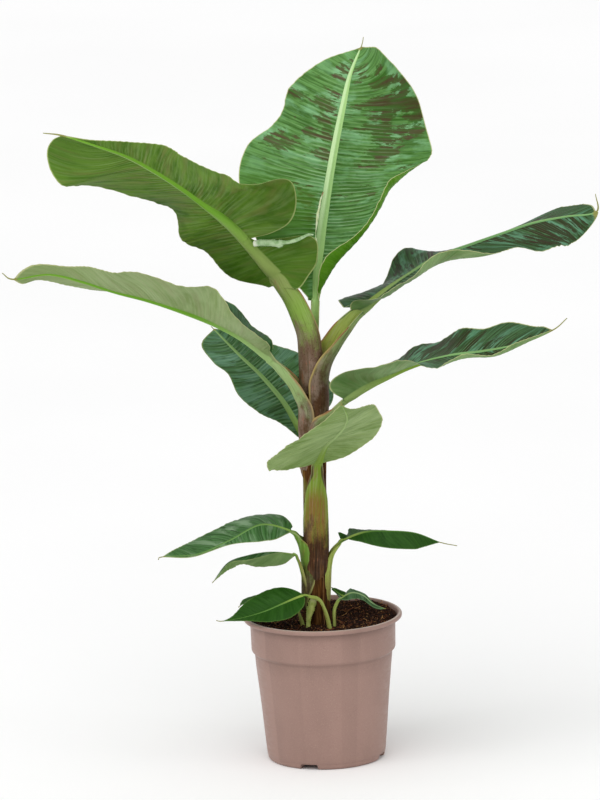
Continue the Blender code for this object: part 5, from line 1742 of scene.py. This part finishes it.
class PlantLeafSettings(bpy.types.PropertyGroup):
    """Shape of the leaves' surfaces."""

    thickness: bpy.props.FloatProperty(
        name="Thickness", description="Thickness of a middling blade", unit="LENGTH", subtype="DISTANCE",
        min=0.0002, max=0.003, default=0.0008,
    )
    pleat: bpy.props.FloatProperty(
        name="Pleats", description="Height of the folds that run along the veins", unit="LENGTH",
        subtype="DISTANCE", min=0, max=0.003, default=0.0003,
    )
    ruffle: bpy.props.FloatProperty(
        name="Ruffle", description="How far the margins wave", unit="LENGTH", subtype="DISTANCE",
        min=0, max=0.01, default=0.0012,
    )


class PlantStageSettings(bpy.types.PropertyGroup):
    """The studio round the plant."""

    floor: bpy.props.FloatVectorProperty(
        name="Floor", description="Colour of the floor", subtype="COLOR", size=3, min=0, max=1,
        default=linear("#FDFDFD"),
    )
    air: bpy.props.FloatProperty(
        name="Fill", description="Strength of the light from all round", min=0, max=5, default=0.68,
    )
    key: bpy.props.FloatProperty(
        name="Key", description="Strength of the soft light from above", min=0, max=5, default=0.42,
    )
    strips: bpy.props.FloatProperty(
        name="Strips", description="Power of each panel beside the plant", subtype="POWER", min=0, max=2000,
        default=6,
    )


# ---------------------------------------------------------------- operators and panel


class PLANT_OT_pot(bpy.types.Operator):
    """Build the pot with its foot ring, ledge and rolled lip"""

    bl_idname = "plant.pot"
    bl_label = "Pot"

    def execute(self, context):
        build_pot(context.scene.plant_pot)
        return {"FINISHED"}


class PLANT_OT_soil(bpy.types.Operator):
    """Build the soil that fills the pot"""

    bl_idname = "plant.soil"
    bl_label = "Soil"

    def execute(self, context):
        build_soil(context.scene.plant_soil)
        return {"FINISHED"}


class PLANT_OT_loose_soil(bpy.types.Operator):
    """Scatter crumbs and fibres over the soil"""

    bl_idname = "plant.loose_soil"
    bl_label = "Crumbs and fibres"

    def execute(self, context):
        build_loose_soil(context.scene.plant_soil)
        return {"FINISHED"}


class PLANT_OT_trunk(bpy.types.Operator):
    """Build the trunk of rolled leaf sheaths"""

    bl_idname = "plant.trunk"
    bl_label = "Trunk"

    def execute(self, context):
        build_trunk(context.scene.plant_trunk)
        return {"FINISHED"}


class PLANT_OT_crown(bpy.types.Operator):
    """Build the leaves of the crown with their sheaths"""

    bl_idname = "plant.crown"
    bl_label = "Crown leaves"

    def execute(self, context):
        for name in CROWN:
            build_leaf(name, context.scene.plant_leaves)
        build_strip("torn_edge", TORN_EDGE, 75, TORN_EDGE_LOOK)
        build_strip("rolled_wing", ROLLED_WING, 50, ROLLED_WING_LOOK)
        return {"FINISHED"}


class PLANT_OT_low_leaves(bpy.types.Operator):
    """Build the small leaves on the trunk and at its foot"""

    bl_idname = "plant.low_leaves"
    bl_label = "Low leaves"

    def execute(self, context):
        for name in LEAVES:
            if name not in CROWN:
                build_leaf(name, context.scene.plant_leaves)
        build_strip("foot_stem", FOOT_STEM, 60, FOOT_STEM_LOOK)
        return {"FINISHED"}


class PLANT_OT_stage(bpy.types.Operator):
    """Set up the floor, the light and the camera"""

    bl_idname = "plant.stage"
    bl_label = "Stage"

    def execute(self, context):
        build_stage(context.scene.plant_stage)
        return {"FINISHED"}


class PLANT_PT_panel(bpy.types.Panel):
    """Settings and builders of the potted banana plant"""

    bl_label = "Potted banana plant"
    bl_idname = "PLANT_PT_panel"
    bl_space_type = "VIEW_3D"
    bl_region_type = "UI"
    bl_category = "Plant"

    def draw(self, context):
        for name, _, operators in PARTS:
            box = self.layout.box()
            settings = getattr(context.scene, name)
            for key in settings.__annotations__:
                box.prop(settings, key)
            for operator in operators:
                box.operator(operator.bl_idname)


# Each group of settings, with the operators that read it.
PARTS = (
    ("plant_pot", PlantPotSettings, (PLANT_OT_pot,)),
    ("plant_soil", PlantSoilSettings, (PLANT_OT_soil, PLANT_OT_loose_soil)),
    ("plant_trunk", PlantTrunkSettings, (PLANT_OT_trunk,)),
    ("plant_leaves", PlantLeafSettings, (PLANT_OT_crown, PLANT_OT_low_leaves)),
    ("plant_stage", PlantStageSettings, (PLANT_OT_stage,)),
)


def register():
    """Makes the settings, operators and panel known to Blender."""
    for name, settings, operators in PARTS:
        bpy.utils.register_class(settings)
        setattr(bpy.types.Scene, name, bpy.props.PointerProperty(type=settings))
        for operator in operators:
            bpy.utils.register_class(operator)
    bpy.utils.register_class(PLANT_PT_panel)


def unregister():
    """Takes them away again."""
    bpy.utils.unregister_class(PLANT_PT_panel)
    for name, settings, operators in reversed(PARTS):
        for operator in operators:
            bpy.utils.unregister_class(operator)
        delattr(bpy.types.Scene, name)
        bpy.utils.unregister_class(settings)


def main():
    """Builds the whole plant."""
    register()
    bpy.ops.plant.pot()
    bpy.ops.plant.soil()
    bpy.ops.plant.loose_soil()
    bpy.ops.plant.trunk()
    bpy.ops.plant.crown()
    bpy.ops.plant.low_leaves()
    bpy.ops.plant.stage()


if __name__ == "__main__":
    main()
